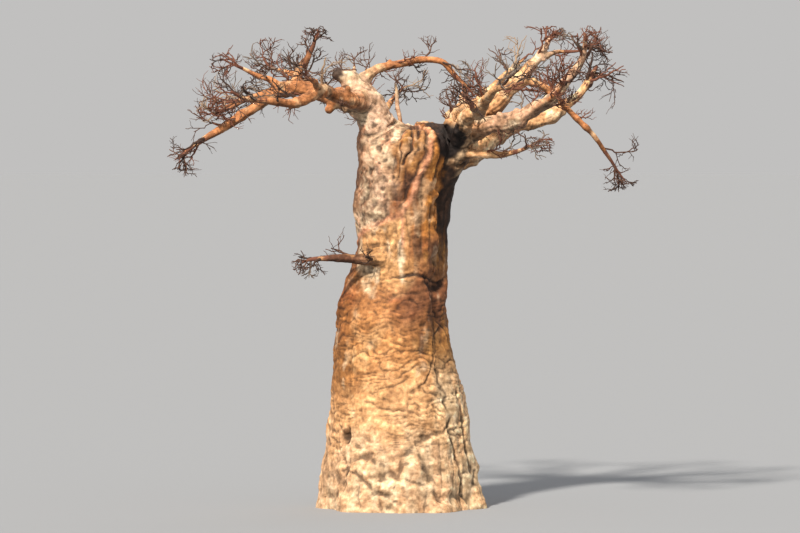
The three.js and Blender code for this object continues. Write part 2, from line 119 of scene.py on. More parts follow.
# The boughs. Each leaves the trunk at a place, or its parent at a share of the parent's
# length. heading and rise are degrees, read off evenly from foot to tip.
Bough = namedtuple("Bough", "name start heading rise length foot tip wave bark")
BOUGHS = [Bough(*row) for row in (
    ("left_fork", (-0.18, -0.12, 5.9), (224, 218, 205, 190, 182, 180), (70, 77, 86, 83, 68, 53),
     3.02, 0.48, 0.245, 0, "pale"),
    ("left_arch", ("left_fork", 0.76), (180, 184, 190, 194, 194), (32, 28, 12, -10, -28, -33, -34),
     3.54, 0.215, 0.084, 5, "red"),
    ("left_knob", ("left_fork", 0.936), (190,), (46, 30), 0.66, 0.168, 0.112, 4, "pale"),
    ("left_front_bough", ("left_fork", 0.84), (240, 234, 228), (22, 6, -8, -4),
     3.1, 0.18, 0.084, 12, "red"),
    ("left_front_spur", ("left_front_bough", 0.6), (268, 258), (24, 10), 0.9, 0.084, 0.052, 8, "red"),
    ("left_rear_bough", ("left_fork", 0.816), (136, 144, 152), (28, 12, -6, -6),
     3.1, 0.19, 0.084, 12, "red"),
    ("left_rear_spur", ("left_rear_bough", 0.58), (112, 122), (28, 12), 0.95, 0.088, 0.054, 8, "red"),
    ("top_arch", ("left_fork", 0.944), (6, 2), (70, 56, 16, 12, 10, 4, -14, -70),
     2.25, 0.108, 0.058, 4, "red"),
    ("left_spire", ("left_arch", 0.485), (356, 346), (82, 64, 54), 0.82, 0.098, 0.064, 6, "brown"),
    ("left_spur", ("left_arch", 0.54), (200, 186), (42, 18), 0.72, 0.082, 0.052, 10, "red"),
    ("left_side_spur", ("left_arch", 0.56), (202, 192), (0, -24), 0.9, 0.074, 0.048, 8, "red"),
    ("low_left_bough", (-0.15, -0.6, 5.14), (200, 194), (6, 2), 1.25, 0.15, 0.076, 7, "brown"),
    ("rear_bough", (-0.06, 0.42, 7.1), (98, 106, 112), (40, 28, 20, 24), 3.3, 0.235, 0.09, 11, "tan"),
    ("rear_spur", ("rear_bough", 0.6), (66, 76), (30, 16), 0.95, 0.092, 0.054, 8, "red"),
    ("crotch_stick", (0.04, 0.04, 7.65), (170,), (88, 80), 1.15, 0.058, 0.03, 7, "pale"),
    ("right_bough", (0.8, -0.1, 7.0), (356, 352, 358), (50, 54, 40, 38), 2.65, 0.285, 0.15, 6, "tan"),
    ("front_bough", ("right_bough", 0.3), (282, 286, 280), (24, 16, 14), 2.9, 0.18, 0.088, 9, "tan"),
    ("front_spur", ("front_bough", 0.56), (258, 266), (14, 4), 0.85, 0.084, 0.052, 8, "red"),
    ("right_upper_bough", ("right_bough", 0.96), (10, 2), (50, 52), 0.78, 0.122, 0.074, 6, "pale"),
    ("right_out_spur", ("right_upper_bough", 0.7), (6, -10), (32, 6), 0.62, 0.06, 0.04, 8, "brown"),
    ("right_drooper", ("right_bough", 0.94), (14, 4), (0, -38, -50, -48), 2.45, 0.084, 0.046, 7, "red"),
    ("right_front_bough", ("right_bough", 0.38), (326, 332, 336), (12, 10, 34, 42),
     2.75, 0.215, 0.105, 8, "rose"),
    ("right_front_spur", ("right_front_bough", 0.6), (300, 308), (18, 26), 0.9, 0.092, 0.054, 8, "red"),
    ("right_low_bough", (0.95, -0.24, 7.42), (342, 330), (-4, -8, 16), 1.5, 0.118, 0.06, 8, "tan"),
    ("right_rear_bough", (0.76, 0.3, 7.05), (34, 24, 20), (36, 24, 14, 32),
     3.35, 0.27, 0.12, 10, "tan"),
    ("right_rear_spur", ("right_rear_bough", 0.62), (60, 48), (36, 18), 0.95, 0.096, 0.056, 8, "red"),
    ("right_back_bough", (0.6, 0.46, 7.0), (68, 58, 52), (46, 36, 24, 32),
     3.35, 0.235, 0.092, 10, "tan"),
    ("right_back_spur", ("right_back_bough", 0.6), (92, 84), (34, 18), 0.9, 0.09, 0.054, 8, "red"),
)]
WAVES = 1.7
COLLAR = 0.25
TAPER = 0.8  # a bough thins with this power of the share of its length
BOUGH_STEPS = 8

# The masses of twigs, one on each bough's tip
MassRow = namedtuple("MassRow", "on reach lift")
MASS_ROWS = [MassRow(*row) for row in (
    ("left_arch", 0.82, -0.5), ("left_spire", 0.44, 0.4), ("left_spur", 0.62, 0.1),
    ("left_side_spur", 0.6, 0.1), ("left_front_bough", 0.98, 0.1), ("left_front_spur", 0.8, 0.1),
    ("left_rear_bough", 0.98, 0.1), ("left_rear_spur", 0.82, 0.1), ("top_arch", 0.58, -0.25),
    ("low_left_bough", 0.56, -0.1), ("front_bough", 0.94, 0.05), ("front_spur", 0.72, 0.0),
    ("rear_bough", 1.0, 0.1), ("rear_spur", 0.82, 0.1), ("right_upper_bough", 0.44, 0.0),
    ("right_out_spur", 0.64, 0.0), ("right_drooper", 0.64, -0.35), ("right_front_bough", 0.9, 0.15),
    ("right_front_spur", 0.78, 0.1), ("right_low_bough", 0.64, 0.15), ("right_rear_bough", 0.98, 0.1),
    ("right_rear_spur", 0.8, 0.1), ("right_back_bough", 0.98, 0.1), ("right_back_spur", 0.8, 0.1),
)]
GAP = 0.00035
STEM_SHARE = 1.2
CENTRE_SHARE = 0.62
HEIGHT_SHARE = 0.8
TIP_SHARE = 0.3
FIRST_FORK = 0.3
TRIES = 4
SHORTER = 0.85
FORK_ANGLE = 44
FORK_SPREAD = 16
SPIRAL = 137.5
SPIRAL_SPREAD = 40
BEND = 0.34
LIFT_SHARE = 0.5
SAMPLES = np.array([0.25, 0.5, 0.75, 1.0])
FIRST_SEED = 101
SEED_STEP = 31
MASS_MARGIN = 0.015
LIMB_MARGIN = 0.02
SPOT_STEP = 0.06
TRUNK_SPOT_STEP = 0.15
TRUNK_SPOT_SIZE = 1.06
START_SHARE = 1.5  # spots nearer than this share of a radius belong to what a twig grows from
SEARCH_MARGIN = 0.2
LEAST_LENGTH = 0.8  # a side twig's length by chance, as a share of what the rule gives
LENGTH_SPREAD = 0.4
LENGTH_AT_FOOT = 1.15  # side twigs get shorter from the foot of a twig to its tip
LENGTH_FALL = 0.35

# The levels of twigs. The first three are the solids', whose own side twigs are counted
# in children. finer counts the side twigs that only this script grows. least is the
# smallest radius of a foot and a tip.
Level = namedtuple("Level", "children length_share radius_share steps finer sides spacing stray least")
LEVELS = (
    Level(4, 0.66, 0.66, 3, 2, 8, 0.05, 0.0, (0.012, 0.009)),
    Level(2, 0.6, 0.62, 2, 2, 7, 0.085, 0.028, (0.012, 0.009)),
    Level(0, 0.85, 0.75, 1, 2, 6, 0.085, 0.026, (0.012, 0.009)),
    Level(0, 0.75, 0.75, 2, 2, 4, 0.07, 0.02, (0.0095, 0.0065)),
    Level(0, 0.66, 0.7, 2, 0, 3, 0.07, 0.012, (0.0068, 0.0045)),
)
SOLID_LEVELS = 3
FINER_SIZE = 0.78  # a finer side twig's foot as a share of a solid one's
FINER_TRIES = 2

# Shoots along the outer part of each bough
SHOOT_STEP = 0.26
SHOOT_START = 0.2
SHOOT_LENGTH = 0.95
SHOOT_SHARE = 0.34  # a shoot's foot as a share of the bough's radius there
SHOOT_FOOT = (0.02, 0.05)
SHOOT_REACH = 0.9
SHOOT_LIFT = 0.15
SHOOT_DIP = -0.45  # no shoot points further down than this
SHOOT_SEED = 7
SHOOT_MARGIN = 0.1
SHOOT_DEPTH = 0.7  # a shoot starts inside its bough, at this share of the radius
BOX_MARGIN = 0.015

# Limbs as the bark's mesh has them: a bough, and the stem of its mass as far as that is
# thicker than THINNEST
THINNEST = 0.03
SPOT_SPACING = 0.025
NEAR_LIMB = 0.4
BEND_RATE = 1.9
BEND_SIZE = 0.36  # of the soft bends, as a share of the radius
KINK_STEP = 0.4  # between the sharper turns along a bough
KINK_SIZE = 0.3
KNOT_STEP = 0.32  # between the knots along a bough
KNOTS = ((0.1, 0.04, 0.04), (0.97, 0.12, 0.26))  # least and greatest place, width and height
KNOT_HEIGHT = 0.045
STUB_STEP = 0.6  # between the broken stubs along a bough
STUB_PLACES = (0.15, 0.95)
STUB_SIZES = (0.28, 0.5)
STUB_LENGTHS = (0.6, 2.0)
STUB_TAPER = (1.25, 0.8)
STUB_LEAN = 0.5

# The mesh of the bark
VOXEL = 0.023
TUBE_SIDES = 20
TUBE_STEP = 0.05
TRUNK_SIDES = 160
TRUNK_RINGS = 150
DOME_RINGS = 14
BELOW = 0.12  # the trunk runs on below the ground before it is cut flat
TRUNK_SPLIT = 3.6  # height where the trunk's mesh is parted in two pieces
UP = np.array((0.0, 0.0, 1.0))
RIGHT = np.array((1.0, 0.0, 0.0))
STEEP = 0.9  # a line that rises more than this takes RIGHT for its normal's side, not UP
LIMB_SIDE = np.array((0.3, 1.0, 0.1))

# The streams of chance that only this script draws from
wander = np.random.default_rng(7)
noise_table = np.random.default_rng(11)
wobble = np.random.default_rng(5)
SCAR_SEED = 23
TONE_SEED = 41
GRADIENTS = noise_table.normal(size=(256, 3))
GRADIENTS /= np.linalg.norm(GRADIENTS, axis=1)[:, None]
PERMUTED = noise_table.permutation(256)


def random_stream(seed):
    """A repeatable stream of numbers from 0 to 1, the same as the solids'."""
    state = seed & WORD

    def draw():
        nonlocal state
        state = (state + 0x6D2B79F5) & WORD
        mixed = ((state ^ (state >> 15)) * (state | 1)) & WORD
        mixed = ((mixed + (mixed ^ (mixed >> 7)) * (mixed | 61)) & WORD) ^ mixed
        return (mixed ^ (mixed >> 14)) / (WORD + 1)

    return draw


def unit(vector):
    return vector / math.sqrt(vector @ vector)


def lerp(a, b, share):
    return a + (b - a) * share


def smoothstep(low, high, value):
    t = np.clip((value - low) / (high - low), 0, 1)
    return t * t * (3 - 2 * t)


def direction(heading, rise):
    h, r = math.radians(heading), math.radians(rise)
    return np.array((math.cos(h) * math.cos(r), math.sin(h) * math.cos(r), math.sin(r)))


def read_off(values, share):
    """Reads a list off evenly: share 0 is its first value, 1 its last."""
    place = share * (len(values) - 1)
    i = min(int(place), max(0, len(values) - 2))
    return lerp(values[i], values[min(i + 1, len(values) - 1)], place - i)


class Course:
    """A centripetal Catmull-Rom curve through points, read by share of its length."""

    DIVISIONS = 200
    NUDGE = 1e-4

    def __init__(self, points):
        self.points = np.array(points)
        self.ts = np.linspace(0, 1, self.DIVISIONS + 1)
        steps = np.diff(self.at_t(self.ts), axis=0)
        self.lengths = np.concatenate([[0], np.cumsum(np.linalg.norm(steps, axis=1))])
        self.length = self.lengths[-1]

    def at_t(self, t):
        points, last = self.points, len(self.points) - 1
        place = np.clip(np.asarray(t, float), 0, 1) * last
        i = np.minimum(np.floor(place).astype(int), last - 1)
        w = (place - i)[..., None]
        p1, p2 = points[i], points[i + 1]
        p0 = np.where((i > 0)[..., None], points[np.maximum(i - 1, 0)], 2 * points[0] - points[1])
        p3 = np.where((i + 2 <= last)[..., None], points[np.minimum(i + 2, last)],
                      2 * points[last] - points[last - 1])
        d0, d1, d2 = (np.sqrt(np.linalg.norm(b - a, axis=-1))[..., None]
                      for a, b in ((p0, p1), (p1, p2), (p2, p3)))
        m1 = ((p1 - p0) / d0 - (p2 - p0) / (d0 + d1) + (p2 - p1) / d1) * d1
        m2 = ((p2 - p1) / d1 - (p3 - p1) / (d1 + d2) + (p3 - p2) / d2) * d1
        cubic = 2 * p1 - 2 * p2 + m1 + m2
        square = -3 * p1 + 3 * p2 - 2 * m1 - m2
        return p1 + w * (m1 + w * (square + w * cubic))

    def at(self, share):
        return self.at_t(np.interp(np.asarray(share, float) * self.length, self.lengths, self.ts))

    def end_way(self):
        return unit(self.at_t(1.0) - self.at_t(1.0 - self.NUDGE))


def station(column, z):
    """The trunk's half width (1) or centre (2) at height z."""
    heights, values = STATIONS[:, 0], STATIONS[:, column]
    last = len(heights) - 1
    i = np.clip(np.searchsorted(heights, z, side="right") - 1, 0, last - 1)

    def slope(n):
        a, b = np.maximum(n - 1, 0), np.minimum(n + 1, last)
        return (values[b] - values[a]) / (heights[b] - heights[a])

    span = heights[i + 1] - heights[i]
    t = (z - heights[i]) / span
    return (values[i] * (1 + 2 * t) * (1 - t) ** 2 + values[i + 1] * t * t * (3 - 2 * t)
            + span * (slope(i) * t * (1 - t) ** 2 - slope(i + 1) * t * t * (1 - t)))


def turn_between(angle, degrees):
    """Degrees from one direction round the trunk to another, -180 to 180."""
    return (np.degrees(angle) - degrees + 180) % 360 - 180


def hollowed(angle, z):
    """How far the trunk's skin lies inside or outside its swollen round shape."""
    moved = 0
    for hollow in HOLLOWS:
        share = (z - hollow.foot[1]) / (hollow.top[1] - hollow.foot[1])
        turn = turn_between(angle, lerp(hollow.foot[0], hollow.top[0], share))
        across = np.exp(-((turn / np.where(turn < 0, *hollow.flanks)) ** 2))
        moved = moved - hollow.depth * across * smoothstep(0, 0.6, share)
    turn = turn_between(angle, SHOULDER.angle)
    above = z - SHOULDER.z - SHOULDER.climb * turn
    across = np.exp(-((turn / SHOULDER.width) ** 4)) * np.exp(-((above / SHOULDER.reach) ** 2))
    return moved - SHOULDER.step * np.tanh(above / SHOULDER.soft) * across


def trunk_radius(angle, z):
    """The trunk's half width towards an angle at height z, swollen and hollowed."""
    swell = 1.0
    for s in SWELLINGS:
        swell = swell + s.share * np.exp(-(((z - s.z) / s.reach) ** 2)) * np.cos(s.lobes * angle + s.phase)
    return station(1, z) * swell + hollowed(angle, z)


def trunk_depth(z):
    return lerp(DEPTH_AT_FOOT, DEPTH_AT_HEAD, z / HEAD_HEIGHT)


def bough_radius(bough, share):
    collar = COLLAR * bough.foot * np.exp(-share * bough.length / (2 * bough.foot))
    return lerp(bough.foot, bough.tip, np.asarray(share, float) ** TAPER) + collar


def bough_course(bough, start):
    points = [start]
    phase = len(bough.name) / 7
    for i in range(BOUGH_STEPS):
        share = (i + 0.5) / BOUGH_STEPS
        turned = TAU * (WAVES * share + phase)
        way = direction(read_off(bough.heading, share) + bough.wave * math.sin(turned),
                        read_off(bough.rise, share) + bough.wave * math.cos(turned))
        points.append(points[i] + way * (bough.length / BOUGH_STEPS))
    return Course(points)


def make_courses():
    courses = {}
    for bough in BOUGHS:
        if isinstance(bough.start[0], str):
            parent, share = bough.start
            start = courses[parent].at(share)
        else:
            start = np.array(bough.start)
        courses[bough.name] = bough_course(bough, start)
    return courses


Mass = namedtuple("Mass", "node on reach lift seed start way foot centre")


def place_masses(courses):
    boughs = {bough.name: bough for bough in BOUGHS}
    masses = []
    for i, row in enumerate(MASS_ROWS):
        course = courses[row.on]
        way, tip = course.end_way(), course.at(1.0)
        leaning = unit(way + np.array((0, 0, row.lift)))
        masses.append(Mass(row.on.replace("_bough", "") + "_twigs", row.on, row.reach, row.lift,
                           FIRST_SEED + i * SEED_STEP, tip + way * GAP, way, boughs[row.on].tip,
                           tip + leaning * row.reach * CENTRE_SHARE))
    return masses


def limb_spots(courses):
    """Points with a radius, close together along each limb and up the trunk."""
    spots = []
    for bough in BOUGHS:
        count = math.ceil(bough.length / SPOT_STEP)
        shares = np.arange(count + 1) / count
        spots.append(np.column_stack([courses[bough.name].at(shares), bough_radius(bough, shares)]))
    z = np.arange(0, HEAD_HEIGHT + 1e-9, TRUNK_SPOT_STEP)
    spots.append(np.column_stack([station(2, z), 0 * z, z, station(1, z) * TRUNK_SPOT_SIZE]))
    return np.concatenate(spots)


LOWEST = np.array(cad_box[0])
HIGHEST = np.array(cad_box[1])


def distances(points, place):
    return np.linalg.norm(points - place, axis=-1)


def clear_of(points, radius, spots):
    """Whether a twig through the points stays in the box and off the limbs' spots."""
    if (points - radius < LOWEST).any() or (points + radius > HIGHEST).any():
        return False
    gaps = distances(points[:, None], spots[:, :3]) - spots[:, 3]
    return bool((gaps > radius + LIMB_MARGIN).all())


class Room:
    """The space that a mass's twigs may use: its own, clear of every limb."""

    def __init__(self, mass, masses, spots):
        self.mass = mass
        self.others = np.array([m.centre for m in masses if m is not mass])
        away = distances(spots[:, :3], mass.start) > mass.foot * START_SHARE
        near = distances(spots[:, :3], mass.centre) < mass.reach + spots[:, 3] + SEARCH_MARGIN
        self.spots = spots[away & near]

    def free(self, points, radius):
        offset = points - self.mass.centre
        if (np.linalg.norm(offset / (1, 1, HEIGHT_SHARE), axis=1) > self.mass.reach).any():
            return False
        own = np.linalg.norm(offset, axis=1) + 2 * (radius + MASS_MARGIN)
        if (distances(points[:, None], self.others) < own[:, None]).any():
            return False
        return clear_of(points, radius, self.spots)


class OpenRoom:
    """The space round a bough that its shoots may use: near their start, in the box."""

    def __init__(self, start, spots):
        self.start = start
        away = distances(spots[:, :3], start) > spots[:, 3] * START_SHARE + SHOOT_MARGIN
        near = distances(spots[:, :3], start) < SHOOT_REACH + spots[:, 3] + SHOOT_MARGIN
        self.spots = spots[away & near]

    def free(self, points, radius):
        if (distances(points, self.start) > SHOOT_REACH).any():
            return False
        return clear_of(points, radius, self.spots)


def twig_course(start, way, length, steps, lift, draw, free):
    """Steps that stray from the last. It ends before the first step that isn't free."""
    points, heading = [start], way.copy()
    for _ in range(steps):
        move = heading * (length / steps)
        if not free(points[-1] + SAMPLES[:, None] * move):
            break
        points.append(points[-1] + move)
        heading[0] += (draw() - 0.5) * 2 * BEND
        heading[1] += (draw() - 0.5) * 2 * BEND
        heading[2] += (draw() - 0.5) * 2 * BEND + lift * LIFT_SHARE
        heading = unit(heading)
    return points


def cross(a, b):
    return np.array((a[1] * b[2] - a[2] * b[1], a[2] * b[0] - a[0] * b[2], a[0] * b[1] - a[1] * b[0]))


def side_way(way, turn, draw):
    """The direction of a side twig, turned away from its parent."""
    aside = unit(np.array((-way[1], way[0] + 1e-6, 0.0)))
    around = math.radians(turn + (draw() - 0.5) * 2 * SPIRAL_SPREAD)
    away = math.radians(FORK_ANGLE + (draw() - 0.5) * 2 * FORK_SPREAD)
    turned = (aside * math.cos(around) + cross(way, aside) * math.sin(around)
              + way * ((way @ aside) * (1 - math.cos(around))))
    return unit(way * math.cos(away) + turned * math.sin(away))


Twig = namedtuple("Twig", "line foot tip level")


def columns_at(places, known, columns):
    """Reads each column of a table at some places, where it is known at others."""
    return np.column_stack([np.interp(places, known, column) for column in columns.T])


def crooked(points, shift, rule):
    """The line that is drawn for a twig: through its points, with smaller kinks between
    them. shift moves its start to where its parent's own drawn line is."""
    points = np.array(points)
    spans = np.linalg.norm(np.diff(points, axis=0), axis=1)
    along = np.concatenate([[0], np.cumsum(spans)])
    count = max(rule.steps + 1, math.ceil(along[-1] / rule.spacing))
    shares = np.linspace(0, 1, count + 1)
    line = columns_at(shares * along[-1], along, points)
    envelope = np.minimum(1, 4 * shares * (1 - shares))
    line += (wander.random((count + 1, 3)) - 0.5) * 2 * rule.stray * envelope[:, None]
    line += shift * (1 - shares)[:, None]
    return np.clip(line, LOWEST + BOX_MARGIN, HIGHEST - BOX_MARGIN)


def grow(twigs, start, shift, way, length, foot, level, seed, draw, room, lift):
    """Grows a twig and all that it carries, by the solids' rule. Each has a stream of its
    own, so that one left out changes nothing about the others."""
    rule = LEVELS[level]
    points = twig_course(start, way, length, rule.steps, lift, draw,
                         lambda ahead: level == 0 or room.free(ahead, foot))
    if len(points) <= rule.steps:
        return False
    tip = max(rule.least[1], foot * TIP_SHARE)
    if level == 0:
        line = Course(points).at(np.linspace(0, 1, math.ceil(length / TUBE_STEP) + 1))
    else:
        line = crooked(points, shift, rule)
    twigs.append(Twig(line, foot, tip, level))
    if level + 1 == len(LEVELS):
        return True
    children = [(i, rule.children, 1.0, TRIES) for i in range(rule.children)]
    children += [(i, rule.finer, FINER_SIZE, FINER_TRIES) for i in range(rule.finer)]
    for n, (i, count, size, tries) in enumerate(children):
        along = FIRST_FORK + (1 - FIRST_FORK) * (i + draw()) / count
        step = min(rule.steps - 1, int(along * rule.steps))
        a, b = points[step], points[step + 1]
        origin = lerp(a, b, along * rule.steps - step)
        moved = read_off(line, along) - origin
        forward = unit(b - a)
        finer = level + 1 >= SOLID_LEVELS or size < 1
        least = (LEVELS[level + 1] if finer else rule).least[0]
        radius = max(least, lerp(foot, tip, along) * rule.radius_share * size)
        reach = (length * rule.length_share * (LEAST_LENGTH + LENGTH_SPREAD * draw())
                 * (LENGTH_AT_FOOT - LENGTH_FALL * along))
        for attempt in range(tries):
            branch = seed * SEED_STEP + n * TRIES + attempt + 1
            stream = random_stream(branch)
            side = side_way(forward, SPIRAL * (n + attempt), stream)
            if grow(twigs, origin, moved, side, reach * SHORTER ** attempt, radius, level + 1,
                    branch, stream, room, lift):
                break
    return True


def grow_shoots(bough, course, spots, seed):
    """Short crooked shoots along the outer part of a bough."""
    twigs = []
    draw = random_stream(seed)
    count = int(bough.length * (1 - SHOOT_START) / SHOOT_STEP)
    for i in range(count):
        share = SHOOT_START + (1 - SHOOT_START) * (i + draw()) / count
        start = course.at(share)
        way = unit(course.at(min(1, share + 0.02)) - course.at(share - 0.02))
        branch = seed * SEED_STEP + i + 1
        stream = random_stream(branch)
        side = side_way(way, SPIRAL * i, stream)
        size = SHOOT_LENGTH * (0.25 + 0.75 * draw() ** 1.5)
        radius = float(bough_radius(bough, share))
        if side[2] >= SHOOT_DIP:
            foot = min(max(radius * SHOOT_SHARE, SHOOT_FOOT[0]), SHOOT_FOOT[1])
            grow(twigs, start + side * radius * SHOOT_DEPTH, np.zeros(3), side, size, foot, 1, branch, stream,
                 OpenRoom(start, spots), SHOOT_LIFT)
    return twigs


def frames_along(line, aside=None):
    """Directions along a line, with normals and binormals that turn only as it does."""
    ways = np.gradient(line, axis=0)
    ways /= np.linalg.norm(ways, axis=1)[:, None]
    if aside is None:
        aside = UP if abs(ways[0][2]) < STEEP else RIGHT
    normal = unit(cross(ways[0], aside))
    normals = np.empty_like(line)
    for i, way in enumerate(ways):
        normal = unit(normal - way * (normal @ way))
        normals[i] = normal
    return ways, normals, np.cross(ways, normals)


def closed_rings(rings, ends):
    """Vertices, four-sided and three-sided faces of a skin over rings of vertices. ends
    holds the points that close it: beyond the last ring, and perhaps the first."""
    count, sides = rings.shape[:2]
    i, j = np.meshgrid(np.arange(count - 1), np.arange(sides), indexing="ij")
    k = (j + 1) % sides
    quads = np.stack([i * sides + j, i * sides + k, (i + 1) * sides + k, (i + 1) * sides + j], axis=-1)
    j, k = j[0], k[0]
    last, size = (count - 1) * sides, count * sides
    tris = [np.column_stack([last + j, last + k, np.full(sides, size)]),
            np.column_stack([k, j, np.full(sides, size + 1)])]
    return (np.concatenate([rings.reshape(-1, 3), ends]), quads.reshape(-1, 4),
            np.concatenate(tris[:len(ends)]))


def tube(line, radii, sides, foot_closed=False):
    """A tube along a line, closed at its tip and perhaps at its foot."""
    ways, normals, binormals = frames_along(line)
    angles = TAU * np.arange(sides) / sides
    around = (np.cos(angles)[None, :, None] * normals[:, None]
              + np.sin(angles)[None, :, None] * binormals[:, None])
    rings = line[:, None] + around * np.asarray(radii)[:, None, None]
    ends = [line[-1] + ways[-1] * radii[-1] * 0.5, line[0]]
    return closed_rings(rings, ends[:1 + foot_closed])


def mesh_of(name, vertices, quads, tris, material_index=None):
    """A mesh from arrays. material_index lists the quads' and then the triangles'."""
    mesh = bpy.data.meshes.new(name)
    mesh.vertices.add(len(vertices))
    mesh.vertices.foreach_set("co", np.asarray(vertices, np.float32).ravel())
    loops = np.concatenate([quads.ravel(), tris.ravel()]).astype(np.int32)
    totals = np.concatenate([np.full(len(quads), 4), np.full(len(tris), 3)]).astype(np.int32)
    mesh.loops.add(len(loops))
    mesh.loops.foreach_set("vertex_index", loops)
    mesh.polygons.add(len(totals))
    mesh.polygons.foreach_set("loop_start", (np.cumsum(totals) - totals).astype(np.int32))
    if material_index is not None:
        mesh.polygons.foreach_set("material_index", material_index.astype(np.int32))
    mesh.update(calc_edges=True)
    mesh.validate()
    mesh.shade_smooth()
    return mesh


def add_object(name, data):
    piece = bpy.data.objects.new(name, data)
    bpy.context.scene.collection.objects.link(piece)
    return piece


class Heap:
    """Gathers small meshes into one."""

    def __init__(self):
        self.vertices, self.quads, self.tris = [], [], []
        self.quad_slots, self.tri_slots = [], []
        self.count = 0

    def add(self, vertices, quads, tris, slot=0):
        self.vertices.append(vertices)
        self.quads.append(quads + self.count)
        self.tris.append(tris + self.count)
        self.quad_slots.append(np.full(len(quads), slot))
        self.tri_slots.append(np.full(len(tris), slot))
        self.count += len(vertices)

    def mesh(self, name):
        return mesh_of(name, *map(np.concatenate, (self.vertices, self.quads, self.tris)),
                       np.concatenate(self.quad_slots + self.tri_slots))


def noise(points, seed=0):
    """Smooth noise, about -1 to 1, at each of the points."""
    cell = np.floor(points)
    part = points - cell
    cell = cell.astype(np.int64)
    fade = part * part * part * (part * (part * 6 - 15) + 10)
    total = np.zeros(len(points))
    for corner in np.ndindex(2, 2, 2):
        key = np.full(len(points), seed)
        weight = np.ones(len(points))
        for axis in range(3):
            key = PERMUTED[(cell[:, axis] + corner[axis] + key) & 255]
            weight = weight * (fade[:, axis] if corner[axis] else 1 - fade[:, axis])
        total += weight * np.einsum("ij,ij->i", GRADIENTS[key], part - corner)
    return total * 1.8


def fractal(points, octaves, seed=0):
    total, share = 0, 1.0
    for octave in range(octaves):
        total = total + share * noise(points * 2 ** octave, seed + 17 * octave)
        share *= 0.5
    return total


def grooves(phase, sharpness=0.55):
    """Rolls with narrow grooves between them: 1 on a roll and 0 in a groove."""
    return np.abs(np.sin(math.pi * phase)) ** sharpness


Limb = namedtuple("Limb", "name line radii along ways normals binormals bark parent")
courses = make_courses()
masses = place_masses(courses)
spots = limb_spots(courses)
bough_by_name = {bough.name: bough for bough in BOUGHS}


def grow_masses():
    """The twigs of each mass, by its node. The first of them is its stem."""
    grown = {}
    for mass in masses:
        twigs = grown[mass.node] = []
        grow(twigs, mass.start, np.zeros(3), mass.way, mass.reach * STEM_SHARE, mass.foot, 0, mass.seed,
             random_stream(mass.seed), Room(mass, masses, spots), mass.lift)
    return grown


def framed(name, line, radii, bark, parent):
    along = np.concatenate([[0], np.cumsum(np.linalg.norm(np.diff(line, axis=0), axis=1))])
    return Limb(name, line, radii, along, *frames_along(line, LIMB_SIDE), bark, parent)


def limb_of(bough, stem):
    """A bough's line and radii, closely spaced, carried on along the stem of its mass."""
    shares = np.linspace(0, 1, math.ceil(bough.length / SPOT_SPACING) + 1)
    line, radii = courses[bough.name].at(shares), bough_radius(bough, shares)
    along = shares * bough.length
    own = np.column_stack([0 * along + bough.length, 0 * along + bough.foot * 50])
    bends = np.column_stack([noise(np.column_stack([along * BEND_RATE + 31 * axis, own]), 60 + axis)
                             for axis in range(3)])
    turns = np.linspace(0, bough.length, max(3, round(bough.length / KINK_STEP)))
    kinks = columns_at(along, turns, wobble.uniform(-1, 1, (len(turns), 3)))
    sway = radii * np.sqrt(np.sin(math.pi * shares))
    line = line + (BEND_SIZE * bends + KINK_SIZE * kinks) * sway[:, None]
    for _ in range(math.ceil(bough.length / KNOT_STEP)):
        place, width, height = wobble.uniform(*KNOTS)
        height = min(height, KNOT_HEIGHT / bough.foot)
        radii = radii * (1 + height * np.exp(-(((along - place * bough.length) / width) ** 2)))
    if stem:
        steps = math.ceil(np.linalg.norm(stem.line[-1] - stem.line[0]) / SPOT_SPACING)
        ahead = np.linspace(0, 1, steps + 1)[1:]
        carried = columns_at(ahead, np.linspace(0, 1, len(stem.line)), stem.line)
        thick = lerp(stem.foot, stem.tip, ahead)
        line = np.concatenate([line, carried[thick > THINNEST]])
        radii = np.concatenate([radii, thick[thick > THINNEST]])
    parent = bough.start[0] if isinstance(bough.start[0], str) else None
    return framed(bough.name, line, radii, bough.bark, parent)


def stubs_of(limb, length):
    """Short broken stubs on a limb, each a limb of its own that belongs to it."""
    stubs = []
    for _ in range(int(length / STUB_STEP)):
        i = int(wobble.uniform(*STUB_PLACES) * length / SPOT_SPACING)
        turn = wobble.uniform(0, TAU)
        size = limb.radii[i] * wobble.uniform(*STUB_SIZES)
        reach = limb.radii[i] + size * wobble.uniform(*STUB_LENGTHS)
        out = limb.normals[i] * math.cos(turn) + limb.binormals[i] * math.sin(turn) + limb.ways[i] * STUB_LEAN
        steps = np.linspace(0, 1, max(4, math.ceil(reach / SPOT_SPACING)))
        line = limb.line[i] + unit(out) * reach * steps[:, None]
        stubs.append(framed(limb.name, line, size * lerp(*STUB_TAPER, steps), limb.bark, limb.name))
    return stubs


def trunk_ring(height, shrink, rise=0):
    """A ring round the trunk at a height, drawn in by shrink and lifted by rise."""
    angles = TAU * np.arange(TRUNK_SIDES) / TRUNK_SIDES
    z = max(height, 0.0)
    radius = trunk_radius(angles, z) * shrink
    return np.column_stack([station(2, z) + np.cos(angles) * radius, np.sin(angles) * radius * trunk_depth(z),
                            np.full(TRUNK_SIDES, height + rise)])


def trunk_mesh():
    """The trunk as a closed grid, from below the ground to the top of its dome."""
    rings = [trunk_ring(z, 1) for z in np.linspace(-BELOW, HEAD_HEIGHT, TRUNK_RINGS + 1)]
    for i in range(1, DOME_RINGS + 1):
        over = TAU / 4 * i / DOME_RINGS
        shrink = DOME_EDGE + (1 - DOME_EDGE) * math.cos(over)
        rings.append(trunk_ring(HEAD_HEIGHT, shrink, DOME_HEIGHT * math.sin(over)))
    return closed_rings(np.array(rings), [rings[-1].mean(axis=0), rings[0].mean(axis=0)])


